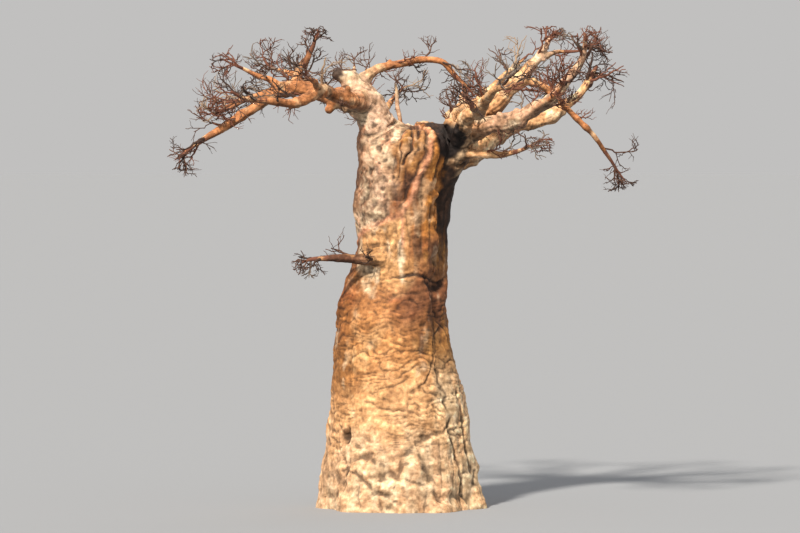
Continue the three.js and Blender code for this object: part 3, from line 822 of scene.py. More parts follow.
def remeshed(limbs):
    """Vertices and faces of trunk and limbs joined into one skin. A voxel remesh gives
    small even faces with four sides each."""
    heap = Heap()
    heap.add(*trunk_mesh())
    for limb in limbs:
        keep = np.unique(np.concatenate([np.arange(0, len(limb.line), 2), [len(limb.line) - 1]]))
        heap.add(*tube(limb.line[keep], limb.radii[keep], TUBE_SIDES, foot_closed=True))
    rough = add_object("rough", heap.mesh("rough"))
    remesh = rough.modifiers.new("remesh", "REMESH")
    remesh.mode = "VOXEL"
    remesh.voxel_size = VOXEL
    graph = bpy.context.evaluated_depsgraph_get()
    mesh = bpy.data.meshes.new_from_object(rough.evaluated_get(graph))
    bpy.data.objects.remove(rough)
    vertices = np.empty(len(mesh.vertices) * 3, np.float32)
    mesh.vertices.foreach_get("co", vertices)
    corners = np.empty(len(mesh.loops), np.int32)
    mesh.loops.foreach_get("vertex_index", corners)
    return vertices.reshape(-1, 3).astype(float), corners.reshape(-1, 4)


def sides_of(quads):
    """The sides of four-sided faces, each as a pair of vertices."""
    return np.concatenate([quads[:, [i, (i + 1) % 4]] for i in range(4)]).astype(np.int64)


class Skin:
    """The bark's mesh as arrays, with what lies next to each vertex."""

    def __init__(self, vertices, quads):
        self.vertices, self.quads = vertices, quads
        pairs = np.sort(sides_of(quads), axis=1)
        codes = np.unique(pairs[:, 0] * len(vertices) + pairs[:, 1])
        self.a, self.b = codes // len(vertices), codes % len(vertices)
        counts = np.bincount(self.a, minlength=len(vertices)) + np.bincount(self.b, minlength=len(vertices))
        self.neighbours = np.maximum(counts, 1)

    def averaged(self, places):
        """Each vertex's place as the mean of its neighbours'."""
        size = len(places)
        return np.column_stack([(np.bincount(self.a, column[self.b], size)
                                 + np.bincount(self.b, column[self.a], size)) / self.neighbours
                                for column in places.T])

    def smooth(self, weights, rounds):
        """Draws each vertex towards the mean of its neighbours by its weight."""
        moving = np.nonzero(weights > 0)[0]
        place = np.zeros(len(self.vertices), np.int64)
        place[moving] = np.arange(len(moving))
        ends = np.concatenate([self.a, self.b])
        others = np.concatenate([self.b, self.a])
        chosen = weights[ends] > 0
        ends, others = place[ends[chosen]], others[chosen]
        share = weights[moving][:, None]
        counts = self.neighbours[moving][:, None]
        for _ in range(rounds):
            sums = np.column_stack([np.bincount(ends, self.vertices[others, axis], len(moving))
                                    for axis in range(3)])
            self.vertices[moving] += (sums / counts - self.vertices[moving]) * share

    def normals(self):
        """Normals of the vertices, as the mean of their faces'."""
        corners = self.vertices[self.quads]
        across = np.cross(corners[:, 2] - corners[:, 0], corners[:, 3] - corners[:, 1])
        total = np.zeros_like(self.vertices)
        for corner in range(4):
            for axis in range(3):
                total[:, axis] += np.bincount(self.quads[:, corner], across[:, axis], len(total))
        return total / np.maximum(np.linalg.norm(total, axis=1), 1e-12)[:, None]

    def cut_at_ground(self):
        """Drops what lies below the ground and brings the edge to it."""
        below = self.vertices[:, 2] < 0
        self.quads = self.quads[~below[self.quads].all(axis=1)]
        self.vertices[below, 2] = 0


class Nearest:
    """For each vertex, the limb whose skin it lies on, where on it, and how far the next
    limb's skin is. Limb 0 is the trunk."""

    def __init__(self, points, limbs):
        size = len(points)
        z = np.clip(points[:, 2], 0, HEAD_HEIGHT)
        aside = points[:, 0] - station(2, z)
        deep = points[:, 1] / trunk_depth(z)
        angle = np.arctan2(deep, aside)
        over = np.clip((points[:, 2] - HEAD_HEIGHT) / DOME_HEIGHT, 0, 1)
        shrink = DOME_EDGE + (1 - DOME_EDGE) * np.sqrt(1 - over ** 2)
        gap = np.hypot(aside, deep) - trunk_radius(angle, z) * shrink
        gap = np.where(over > 0, np.maximum(gap * 0.6, points[:, 2] - HEAD_HEIGHT - DOME_HEIGHT), gap)
        self.trunk_angle = angle
        self.gap = gap
        self.limb = np.zeros(size, int)
        self.along = points[:, 2].copy()
        self.angle = angle.copy()
        self.radius = np.full(size, 1.0)
        self.next_gap = np.full(size, 9.0)
        self.next_limb = np.zeros(size, int)
        self.next_radius = np.full(size, 1.0)
        for number, limb in enumerate(limbs, start=1):
            self.weigh(points, number, limb)

    def weigh(self, points, number, limb):
        reach = limb.radii.max() + NEAR_LIMB
        low, high = limb.line.min(axis=0) - reach, limb.line.max(axis=0) + reach
        near = np.nonzero(((points > low) & (points < high)).all(axis=1))[0]
        for part in np.array_split(near, max(1, len(near) // 20000)):
            if not len(part):
                continue
            p = points[part]
            square = ((p ** 2).sum(axis=1)[:, None] + (limb.line ** 2).sum(axis=1)[None]
                      - 2 * p @ limb.line.T)
            i = np.argmin(square, axis=1)
            offset = p - limb.line[i]
            inner = (i > 0) & (i < len(limb.line) - 1)
            ahead = np.einsum("ij,ij->i", offset, limb.ways[i])
            across = np.linalg.norm(offset, axis=1)
            across = np.where(inner, np.sqrt(np.maximum(across ** 2 - ahead ** 2, 0)), across)
            gap = across - limb.radii[i]
            angle = np.arctan2(np.einsum("ij,ij->i", offset, limb.binormals[i]),
                               np.einsum("ij,ij->i", offset, limb.normals[i]))
            closer = gap < self.gap[part]
            won, lost = part[closer], part[~closer]
            self.next_gap[won], self.next_limb[won] = self.gap[won], self.limb[won]
            self.next_radius[won] = self.radius[won]
            self.gap[won], self.limb[won] = gap[closer], number
            self.along[won] = limb.along[i[closer]] + np.where(inner[closer], ahead[closer], 0)
            self.angle[won], self.radius[won] = angle[closer], limb.radii[i[closer]]
            second = gap[~closer] < self.next_gap[lost]
            beaten = lost[second]
            self.next_gap[beaten], self.next_limb[beaten] = gap[~closer][second], number
            self.next_radius[beaten] = limb.radii[i[~closer][second]]


# Lines on the trunk: degrees round it, where 0 is to the right and -90 to the front, and
# height. Each is a groove, and the bark steps up on its right-hand side, seen along it.
# Each line's stain darkens its groove with dark bark and painted shade together.
TrunkLine = namedtuple("TrunkLine", "points width depth step fade stain")
TRUNK_LINES = [TrunkLine(*row) for row in (
    # the rope of bark that comes down from the crotch and laps round below the pale column
    (((-66, 8.05), (-71, 7.65), (-76, 7.1), (-80, 6.75), (-84, 6.4), (-93, 6.1), (-114, 5.95),
      (-136, 5.8), (-160, 5.6), (-186, 5.38)), 0.065, -0.07, -0.03, 0.4, 0.0),
    # the dark groove above and to the left of it
    (((-74, 7.9), (-79, 7.2), (-84, 6.8), (-90, 6.4), (-99, 6.2), (-118, 6.06), (-140, 5.92),
      (-164, 5.72)), 0.03, 0.04, 0.0, 0.3, 0.7),
    # the ridge along the left of the dark hollow
    (((-53, 7.9), (-49, 7.2), (-46, 6.4), (-43, 5.6), (-40, 5.0)), 0.16, -0.17, 0.0, 0.3, 0.0),
    # cracks in the top of the head, to the right of the pale column
    (((-97, 7.98), (-94, 7.6), (-97, 7.15)), 0.035, 0.06, 0.0, 0.2, 1.0),
    (((-87, 7.98), (-85, 7.55), (-88, 7.3)), 0.03, 0.06, 0.0, 0.2, 1.0),
    (((-62, 7.9), (-60, 7.4), (-57, 6.9)), 0.04, 0.05, 0.0, 0.2, 0.9),
    (((-105, 7.6), (-101, 7.2), (-103, 6.8)), 0.02, 0.03, 0.0, 0.2, 0.8),
    # the dark notch at the right-hand end of the waist, darkened with painted shade
    (((-58, 4.68), (-46, 4.59), (-30, 4.58), (-14, 4.64)), 0.1, 0.08, 0.02, 0.2, 1.0),
    # a crack that runs down from the waist along the right of the belly
    (((-64, 4.82), (-53, 4.55), (-39, 4.17), (-22, 3.78), (-11, 3.3), (-6, 2.7)),
     0.024, 0.045, 0.02, 0.2, 1.0),
    (((-26, 3.78), (-45, 3.46), (-50, 3.19), (-56, 2.85), (-70, 2.62)), 0.018, 0.026, 0.01, 0.15, 0.8),
    # a crease across the waist, and a thin one across the belly
    (((-97, 4.79), (-80, 4.83), (-62, 4.79), (-46, 4.74), (-25, 4.7), (-8, 4.72)),
     0.032, 0.055, 0.03, 0.15, 1.0),
    (((-102, 3.21), (-86, 3.27), (-66, 3.26), (-52, 3.19), (-36, 3.27)), 0.013, 0.014, 0.0, 0.1, 0.8),
    # folds pulled over the bright shoulder
    (((-110, 5.86), (-104, 5.5), (-108, 5.2), (-114, 4.9)), 0.05, -0.05, 0.0, 0.3, 0.0),
    (((-96, 5.8), (-97, 5.45), (-103, 5.15)), 0.04, -0.045, 0.0, 0.3, 0.0),
    (((-124, 5.65), (-118, 5.3), (-124, 5.0)), 0.045, -0.04, 0.0, 0.3, 0.0),
    # folds over the foot
    (((-140, 1.6), (-130, 1.36), (-114, 1.1), (-101, 0.86), (-90, 0.76)), 0.08, 0.07, -0.03, 0.3, 0.3),
    (((-90, 0.76), (-82, 1.25), (-66, 1.56), (-48, 1.66)), 0.08, 0.06, 0.03, 0.3, 0.25),
    (((-126, 0.82), (-114, 0.56), (-96, 0.36)), 0.07, 0.05, -0.03, 0.3, 0.25),
    (((-74, 1.2), (-66, 0.7), (-60, 0.3)), 0.07, 0.06, 0.02, 0.3, 0.3),
    (((-46, 2.9), (-42, 2.1), (-38, 1.2), (-31, 0.3)), 0.06, 0.06, 0.02, 0.3, 0.35),
    (((-24, 2.4), (-20, 1.4), (-15, 0.5)), 0.07, 0.07, 0.0, 0.3, 0.4),
    # a deep dark hole beside the foot
    (((-139, 1.58), (-137, 1.44)), 0.07, 0.12, 0.0, 0.2, 1.0),
    # the sides and the back
    (((30, 7.6), (24, 6.4), (34, 5.2), (52, 4.3), (60, 3.2)), 0.1, 0.1, 0.03, 0.4, 0.6),
    (((86, 7.7), (96, 6.6), (90, 5.7), (112, 5.3), (140, 5.1)), 0.05, 0.05, 0.08, 0.5, 0.7),
    (((150, 7.3), (158, 6.2), (150, 5.0), (162, 3.9)), 0.09, 0.09, 0.02, 0.4, 0.6),
    (((70, 4.6), (86, 4.5), (104, 4.62), (122, 4.5)), 0.018, 0.022, 0.02, 0.15, 0.9),
    (((60, 1.5), (76, 1.2), (88, 0.7)), 0.05, 0.06, 0.05, 0.3, 0.5),
    (((150, 1.7), (138, 1.2), (130, 0.5)), 0.05, 0.07, 0.05, 0.3, 0.5),
)]
# Scars seen from the front: x, height and radius
FRONT_SCARS = (
    (-0.52, 7.92, 0.07),
    (-0.42, 7.46, 0.085),
    (-0.60, 6.98, 0.075),
    (-0.26, 7.66, 0.06),
    (-0.36, 6.62, 0.06),
    (0.46, 5.62, 0.05),
    (-0.12, 6.85, 0.05),
)
SCAR_COUNT = 30
SCAR_SIZES = (0.025, 0.07)
SCAR_STRETCH = (0.6, 1.8)
SMOOTH_BELLY = (1.0, 5.0)  # no chance scars on the trunk between these heights
DEGREES_A_METRE = 57  # a line's course is drawn as if the trunk's radius were a metre
STRAY_TURN = 5
STRAY_RISE = 0.07
Fold = namedtuple("Fold", "spacing depth")
ROLL = Fold(0.23, 0.034)
WRINKLE = Fold(0.085, 0.021)
FLUTES_A_RADIAN = 3.4
FLUTE_DEPTH = 0.03
LUMP_HEIGHT = 0.05
RAGGED_HEIGHT = 0.07
# Where kinds of relief set in or end on the trunk, as heights
BELLY_RISE = (0.9, 1.8)
BELLY_FALL = (4.3, 5.4)
NECK_RISE = (4.6, 6.2)
FOOT_FALL = (0.4, 2.0)
LUMPS_FALL = (0.6, 2.0)
RAGGED_RISE = (7.3, 7.75)
# Fillets where limbs meet: their reach as a share of the thinner limb, its bounds, and
# their height as a share of it
FILLET_SHARE = 0.95
FILLET_REACH = (0.05, 0.34)
FILLET_HEIGHT = 0.25
THICKEST = 0.45  # the skin's unevenness grows with a limb's radius up to this
CREASE_ROUNDS = 24
FORK_ROUNDS = 160
HOLLOW_DEPTH = 0.0095  # a hollow this deep takes all the painted shade and dirt that hollows take


def line_relief(line, angle, z, active, stray):
    """The height of one line's groove and step at each vertex, and its stain of dark bark and painted shade.
    """
    degrees = np.degrees(angle) + STRAY_TURN * stray[0] / station(1, z)
    z = z + STRAY_RISE * stray[1]
    knots = np.array(line.points, float) / (DEGREES_A_METRE, 1)
    course = Course(np.column_stack([knots, 0 * knots[:, 0]]))
    points = course.at(np.linspace(0, 1, 4 * len(knots)))[:, :2] * (DEGREES_A_METRE, 1)
    middle = points[:, 0].mean()
    degrees = (degrees - middle + 180) % 360 - 180 + middle
    size = station(1, z)
    best = np.full(len(z), 9.0)
    side = np.zeros(len(z))
    for (a0, z0), (a1, z1) in zip(points[:-1], points[1:]):
        arc, rise = np.radians(a1 - a0) * size, z1 - z0
        from_a, from_z = np.radians(degrees - a0) * size, z - z0
        t = np.clip((from_a * arc + from_z * rise) / (arc ** 2 + rise ** 2), 0, 1)
        off_a, off_z = from_a - t * arc, from_z - t * rise
        distance = np.hypot(off_a, off_z)
        closer = distance < best
        side = np.where(closer, np.sign(rise * off_a - arc * off_z), side)
        best = np.where(closer, distance, best)
    groove = np.exp(-((best / line.width) ** 2)) * smoothstep(-1.1, 0.3, stray[2])
    step = line.step * side * np.clip(best / (2 * line.width), 0, 1) * np.exp(-best / line.fade)
    return (step - line.depth * groove) * active, groove * line.stain * active


def scar_places(skin, near, chance):
    """Where the scars are: the named ones at the front, the others anywhere but on the
    belly. Each has a radius and a stretch."""
    v = skin.vertices
    places = []
    for x, z, radius in FRONT_SCARS:
        close = np.nonzero(np.hypot(v[:, 0] - x, v[:, 2] - z) < 0.05)[0]
        if len(close):
            places.append((v[close[np.argmin(v[close, 1])]], radius, chance.uniform(*SCAR_STRETCH)))
    smooth = (near.limb == 0) & (v[:, 2] > SMOOTH_BELLY[0]) & (v[:, 2] < SMOOTH_BELLY[1])
    picks = chance.choice(np.nonzero(~smooth)[0], SCAR_COUNT, replace=False)
    sizes = chance.uniform(*SCAR_SIZES, SCAR_COUNT)
    return places + [(v[pick], size, chance.uniform(*SCAR_STRETCH)) for pick, size in zip(picks, sizes)]


def trunk_relief(p, trunk_angle):
    """Rolls, wrinkles, flutes and lumps of the trunk's loose skin, and its ragged head."""
    z = p[:, 2]
    # wrinkles round the trunk, like loose skin, strongest on its belly
    belly = smoothstep(*BELLY_RISE, z) * (1 - smoothstep(*BELLY_FALL, z))
    rolls = grooves(z / ROLL.spacing + 1.7 * fractal(p * (0.9, 0.9, 1.1), 4, 4)) - 0.8
    where = smoothstep(-0.45, 0.35, noise(p * (1.1, 1.1, 1.9), 5))
    fine = grooves(z / WRINKLE.spacing + 1.9 * fractal(p * (1.3, 1.3, 1.6), 2, 6)) - 0.8
    where_fine = smoothstep(-0.35, 0.35, noise(p * (1.9, 1.9, 3.1), 7))
    relief = (0.25 + 0.75 * belly) * (ROLL.depth * rolls * where + WRINKLE.depth * fine * where_fine)
    # flutes and pulled folds up the trunk's neck and at its foot
    lengthways = trunk_angle * FLUTES_A_RADIAN + 0.9 * fractal(p * (0.9, 0.9, 0.35), 2, 8)
    ends = 0.25 + 0.75 * np.maximum(smoothstep(*NECK_RISE, z), 1 - smoothstep(*FOOT_FALL, z))
    relief += FLUTE_DEPTH * (grooves(lengthways) - 0.75) * ends
    # lumps over the foot
    relief += LUMP_HEIGHT * (1 - smoothstep(*LUMPS_FALL, z)) * fractal(p * (1.7, 1.7, 2.6), 2, 9)
    # the ragged top of the head, between the forks
    ragged = (RAGGED_HEIGHT * fractal(p * 3.1, 3, 18)
              - 0.05 * smoothstep(0.1, 0.6, noise(p * 5.3, 19)))
    return relief + smoothstep(*RAGGED_RISE, z) * ragged


def bough_relief(p, near):
    """Rings and pulled folds along the boughs."""
    rings = grooves(near.along / (0.5 * near.radius + 0.045) + 1.3 * noise(p * 3.1, 10)) - 0.8
    where = smoothstep(-0.25, 0.4, noise(p * 2.7, 11))
    flutes = grooves(near.angle * 1.27 + 1.1 * noise(p * 1.9, 12)) - 0.75
    return np.minimum(near.radius, 0.19) * (0.13 * rings * where + 0.12 * flutes)


def shape_bark(skin, near):
    """Moves the skin outward and inward: fillets where limbs meet, folds, lumps and
    scars. Returns each vertex's stain, 1 where dark bark and painted shade darken it."""
    p = skin.vertices.copy()
    normals = skin.normals()
    reach = np.clip(FILLET_SHARE * np.minimum(near.radius, near.next_radius), *FILLET_REACH)
    meet = np.clip(1 - np.maximum(near.next_gap, 0) / reach, 0, 1)
    thick = np.minimum(lerp(near.radius, near.next_radius, 0.5 * meet), THICKEST)
    trunk = near.limb == 0

    rough = np.where(trunk, 1 - 0.5 * meet, 0.5 * meet)
    relief = meet ** 2 * reach * FILLET_HEIGHT
    relief += thick * (0.09 * noise(p * 2.3, 1) + lerp(0.07, 0.03, rough) * noise(p * 6.3, 2)
                       + lerp(0.035, 0.009, rough) * noise(p * 15, 3))
    relief += np.where(trunk, trunk_relief(p, near.trunk_angle), bough_relief(p, near)) * (1 - meet)

    stain = np.zeros(len(p))
    stray = [fractal(p * 2.4, 3, 14), fractal(p * 2.4, 3, 15), noise(p * 3.7, 16)]
    for line in TRUNK_LINES:
        height, marked = line_relief(line, near.trunk_angle, p[:, 2], np.where(trunk, 1 - meet, 0), stray)
        relief += height
        stain = np.maximum(stain, marked)

    ragged_edge = fractal(p * 9, 2, 17)
    for place, radius, stretch in scar_places(skin, near, np.random.default_rng(SCAR_SEED)):
        close = np.nonzero((np.abs(p - place) < 3.2 * radius).all(axis=1))[0]
        size = np.minimum(radius, 0.5 * near.radius[close])
        away = np.linalg.norm((p[close] - place) * (1, 1, stretch), axis=1) / size
        away = away * (1 + 0.3 * stray[0][close] + 0.75 * ragged_edge[close])
        rim, hollow = np.exp(-((away - 1.3) / 0.5) ** 2), np.exp(-(away / 0.8) ** 2)
        relief[close] += size * (0.1 * rim - 0.42 * hollow)
        stain[close] = np.maximum(stain[close], 0.55 * np.exp(-(away / 0.7) ** 2))

    move = normals * relief[:, None]
    move[:, 2] *= smoothstep(0.02, 0.25, p[:, 2])
    skin.vertices = p + move
    skin.smooth(np.full(len(p), 0.35), 2)
    return stain


def cavities(skin):
    """How far each vertex lies under its surroundings: above 0 in a hollow."""
    normals = skin.normals()
    wide = skin.vertices
    total = np.zeros(len(wide))
    for rounds, share in ((2, 1.0), (6, 0.55), (16, 0.3)):
        for _ in range(rounds):
            wide = skin.averaged(wide)
        total += share * np.einsum("ij,ij->i", wide - skin.vertices, normals)
    return total


def linear(code):
    """A colour written as rrggbb, as the linear values that shaders use."""
    parts = np.array([int(code[i:i + 2], 16) / 255 for i in (0, 2, 4)])
    return np.where(parts <= 0.04045, parts / 12.92, ((parts + 0.055) / 1.055) ** 2.4)


GOLD = linear("bc8450")
BRIGHT = linear("cf9f6c")
CREAM = linear("d2b999")
RUST = linear("8f542c")
OLIVE = linear("966833")
BROWN = linear("6f4830")
ROSE = linear("b27c5e")
TAN = linear("ad8058")
GREY = linear("b7a288")
SAND = linear("cba683")
# near black: dark bark and dirt, and the colour of painted shade
DIRT_AND_SHADE = linear("281812")
BOUGH_TONES = {
    "pale": (linear("c9a68a"), CREAM),
    "red": (linear("ae7347"), linear("cca47c")),
    "tan": (linear("cd9c6e"), linear("e3c19a")),
    "rose": (linear("c29a7c"), CREAM),
    "brown": (linear("5f3d2b"), TAN),
}
# The rope of bark on the front: its angle at each height above the shoulder, and its
# height at each angle to the left of that. Above and left of it the bark is pale.
ROPE_HEIGHTS = (6.1, 6.4, 6.75, 7.1, 7.65, 8.05)
ROPE_ANGLES = (-93, -84, -80, -76, -71, -66)
LAP_ANGLES = (-186, -160, -136, -114, -93)
LAP_HEIGHTS = (5.38, 5.6, 5.8, 5.95, 6.1)
COLUMN_HEIGHTS = (5.4, 5.75, 6.1, 7.2, 8.0)  # where the pale column ends towards the rope
COLUMN_ANGLES = (-160, -132, -112, -114, -116)
FORK_NAME = "left_fork"
FORK_BLEND = 0.24  # how far the fork's colour and the trunk's run into each other
SHADE_HEIGHTS = (5.0, 5.5, 6.1, 6.7, 7.2, 7.6, 8.0)  # where the painted shade on the right begins
SHADE_ANGLES = (-20, -32, -35, -38, -46, -58, -64)
# Zones of colour on the trunk: degrees round it from which each sets in until it is
# full, at its one side and at its other
LEFT_SIDE = ((-120, -145), (-232, -196))
RIGHT_SIDE = ((-68, -50), (40, 0))
BRIGHT_WAIST = ((-152, -134), (-84, -100))
BROWN_WAIST = ((-94, -74), (10, -20))
WARM_NECK = ((-78, -66), (0, -20))
BRIGHT_SHOULDER = ((-160, -136), (-70, -88))
DUSTY_FLANK = ((-62, -44), (40, 10))
# The same by height
LOW_BELLY = (3.3, 2.0)
NECK = (4.5, 5.5)
WARM_HEIGHT = (5.4, 6.0)
SHOULDER_HEIGHT = (4.5, 4.9)
ABOVE_FOOT = (0.9, 2.0)
FLANK_HEIGHT = (3.4, 2.3)
WAIST = 4.42
WAIST_REACH = 0.5
ROPE_WIDTH = 0.07  # of the rope's paler colour
KNOB_NAME = "left_knob"
BARK_ATTRIBUTE = "bark"
GRAIN_SHADES = ((0.3, 0.55, 0.5, 0.47), (0.7, 1.22, 1.2, 1.18))  # place on the ramp, and colour
ON_GROUND = 0.01  # an opening of the skin below this height is the flat cut at the ground
CAP_DEPTH = 0.6
# Twigs' plain colours, dealt out by spray, and how often each is dealt
TWIG_TONES = (
    ("rust twigs", "744938"),
    ("brown twigs", "5f4336"),
    ("dark twigs", "44322a"),
    ("grey twigs", "76665a"),
    ("pale twigs", "9e866f"),
)
TWIG_SHARES = (0.24, 0.33, 0.3, 0.09, 0.04)
TWIG_KNOTS = 0.14
INSIDE_STEM = 0.94  # a stem's twig mesh runs inside the bark that covers it
FLOOR_RADIUS = 400.0
FLOOR_SIDES = 96
FLOOR_COLOUR = (0.306, 0.317, 0.338)
VIEW_CENTRE = Vector((0.04, 0.0, 5.0))
VIEW_WIDTH = 16.6
VIEW_DISTANCE = 110.0
VIEW_RISE = 2.0  # degrees that the camera looks down
VIEW_END = 2000.0
SENSOR_WIDTH = 36.0


def blend(colours, other, share):
    return colours + (other - colours) * np.clip(share, 0, 1).reshape(-1, 1)


def tone_of(bark, patch, blotch):
    """A kind of bough bark: its own colour, with pale and with dark blotches."""
    tone = blend(*BOUGH_TONES[bark], smoothstep(0.05, 0.7, patch + 0.3 * blotch))
    return blend(tone, tone * 0.45, 0.75 * smoothstep(0.25, 0.75, blotch - 0.3 * patch))


def zone(bounds, one, other):
    """1 between the two sides of a zone and 0 beyond them, with soft edges."""
    return smoothstep(*bounds[0], one) * smoothstep(*bounds[1], other)


def trunk_colours(p, front, broad, patch, streak):
    """The trunk's colour at each vertex. front is degrees round it, -90 at the front. The
    noises break up the edges between one colour and the next."""
    z = p[:, 2]
    trunk = blend(GOLD, BRIGHT, smoothstep(-0.1, 0.7, patch + 0.4 * broad))
    low_belly = smoothstep(*LOW_BELLY, z + 0.5 * broad + 0.3 * patch)
    trunk = blend(trunk, BRIGHT * (1.16, 1.2, 1.35), 0.75 * low_belly)
    left = zone(LEFT_SIDE, front + 12 * patch, front + 20 * broad)
    trunk = blend(trunk, 0.35 * RUST + 0.55 * OLIVE, 0.92 * left * (1 - 0.7 * low_belly))
    right = zone(RIGHT_SIDE, front + 12 * broad + 8 * patch, front)
    trunk = blend(trunk, blend(OLIVE, BROWN, smoothstep(-0.1, 0.5, streak)), 0.82 * right * (1 - low_belly))
    # the red and brown waist
    waist = np.exp(-(((z + 0.3 * broad - WAIST) / WAIST_REACH) ** 2))
    bright_side = zone(BRIGHT_WAIST, front, front + 8 * patch)
    brown_side = zone(BROWN_WAIST, front + 8 * patch, front)
    trunk = blend(trunk, RUST, waist * (0.92 - 0.45 * bright_side + 0.5 * patch))
    trunk = blend(trunk, BROWN, 0.75 * waist * brown_side)
    # above the waist: streaks of olive, rust and brown, with pale bare patches
    neck = smoothstep(*NECK, z + 0.5 * broad + 0.25 * patch)
    streaked = blend(OLIVE, RUST, smoothstep(-0.2, 0.5, broad + 0.4 * streak))
    streaked = blend(streaked, BROWN * 0.8, smoothstep(0.1, 0.5, streak - 0.3 * patch))
    streaked = blend(streaked, SAND, 0.8 * smoothstep(0.15, 0.6, -streak + 0.5 * patch))
    trunk = blend(trunk, streaked, neck * 0.9)
    # right of the rope the neck is a warm brown
    warm = zone(WARM_NECK, front, front) * smoothstep(*WARM_HEIGHT, z)
    trunk = blend(trunk, OLIVE * (2.0, 1.75, 1.4), 0.75 * warm)
    # the bright shoulder on the left of the front
    shoulder = (zone(BRIGHT_SHOULDER, front, front + 8 * broad)
                * smoothstep(*SHOULDER_HEIGHT, z + 0.3 * patch))
    trunk = blend(trunk, BRIGHT, shoulder * 0.8)
    trunk = blend(trunk, CREAM * 1.1, shoulder * smoothstep(0.1, 0.5, streak + 0.3 * patch))
    # above the lap: the pale column, and a streaked band between it and the rope
    rope = np.interp(z, ROPE_HEIGHTS, ROPE_ANGLES)
    lap = np.interp(front, LAP_ANGLES, LAP_HEIGHTS)
    above = np.minimum(z - lap, (rope - front) * 0.018) + 0.04 * patch
    above = smoothstep(-0.05, 0.08, above + 0.05 * streak) * smoothstep(-228, -205, front)
    band = blend(streaked, TAN, 0.5 * smoothstep(-0.3, 0.4, patch)) * 0.93
    column_end = np.interp(z, COLUMN_HEIGHTS, COLUMN_ANGLES)
    column = smoothstep(9, -9, front - column_end + 10 * broad + 10 * patch)
    pale = blend(CREAM, ROSE, smoothstep(0.1, 0.7, 0.7 * patch + 0.6 * streak))
    pale = blend(pale * 1.12, BROWN, 0.6 * smoothstep(0.2, 0.6, fractal(p * (7, 7, 3.5), 2, 36)))
    pale = blend(pale, RUST, 0.7 * smoothstep(-163, -178, front + 8 * patch))
    trunk = blend(trunk, blend(band, pale, column), above)
    # bare pale patches elsewhere
    trunk = blend(trunk, CREAM, 0.4 * smoothstep(0.45, 0.95, 0.6 * streak + 0.7 * patch + 0.3 * broad))
    # the foot is greyer and paler, and so is the belly's right flank
    foot = 1 - smoothstep(*ABOVE_FOOT, z + 0.5 * broad + 0.4 * patch)
    trunk = blend(trunk, blend(SAND, CREAM, smoothstep(-0.2, 0.5, streak)), 0.75 * foot)
    flank = zone(DUSTY_FLANK, front + 8 * patch, front) * smoothstep(*FLANK_HEIGHT, z)
    dusty = blend(GREY, SAND, smoothstep(-0.2, 0.4, streak)) * (1.45, 1.4, 1.27)
    trunk = blend(trunk, dusty, 0.85 * flank)
    # the rope, paler and pinker than the bark beside it
    beside_rope = np.radians(np.abs(front - rope)) * station(1, np.clip(z, 0, HEAD_HEIGHT))
    across = np.where(front > LAP_ANGLES[-1], beside_rope, np.abs(z - lap))
    on_rope = np.exp(-((across / ROPE_WIDTH) ** 2)) * smoothstep(5.3, 5.5, z) * smoothstep(8.2, 7.9, z)
    on_rope *= smoothstep(-200, -170, front) * smoothstep(-50, -64, front)
    trunk = blend(trunk, ROSE * 1.3, 0.9 * on_rope)
    # painted shade, partly a dark stain, in the hollow under the right boughs
    shade_edge = np.interp(z, SHADE_HEIGHTS, SHADE_ANGLES)
    under = (smoothstep(-3, 4, front - shade_edge + 5 * patch) * smoothstep(24, -2, front + 12 * streak)
             * smoothstep(4.9, 5.9, z + 0.5 * streak))
    return blend(trunk, DIRT_AND_SHADE * 0.7, 0.97 * under)


def limb_colours(trunk, limbs, near, z, patch, blotch):
    """The trunk's colour where the trunk is, and each limb's own, which starts from the
    colour of what carries it."""
    colours = trunk.copy()
    for number, limb in enumerate(limbs, start=1):
        mine = near.limb == number
        tone = tone_of(limb.bark, patch[mine], blotch[mine])
        foot = 1 - smoothstep(0.15, 0.85, near.along[mine] + 0.3 * patch[mine])
        if limb.parent is None:
            parent = trunk[mine]
        else:
            parent = tone_of(bough_by_name[limb.parent].bark, patch[mine], blotch[mine])
        colours[mine] = blend(tone, parent, foot)
        if limb.name == FORK_NAME:
            close = (near.next_limb[mine] == 0) * smoothstep(FORK_BLEND, 0, near.next_gap[mine])
            colours[mine] = blend(colours[mine], trunk[mine], 0.5 * close)
            beside = (near.limb == 0) & (near.next_limb == number)
            height = z[beside] - bough_by_name[FORK_NAME].start[2]
            risen = smoothstep(0.15, 0.85, height + 0.3 * patch[beside])
            share = 0.5 * risen * smoothstep(FORK_BLEND, 0, near.next_gap[beside])
            colours[beside] = blend(trunk[beside], tone_of(limb.bark, patch[beside], blotch[beside]), share)
        elif limb.name == KNOB_NAME:
            broken = smoothstep(0.42, 0.6, near.along[mine] + 0.12 * blotch[mine])
            colours[mine] = blend(colours[mine], DIRT_AND_SHADE, broken * 0.95)
    return colours


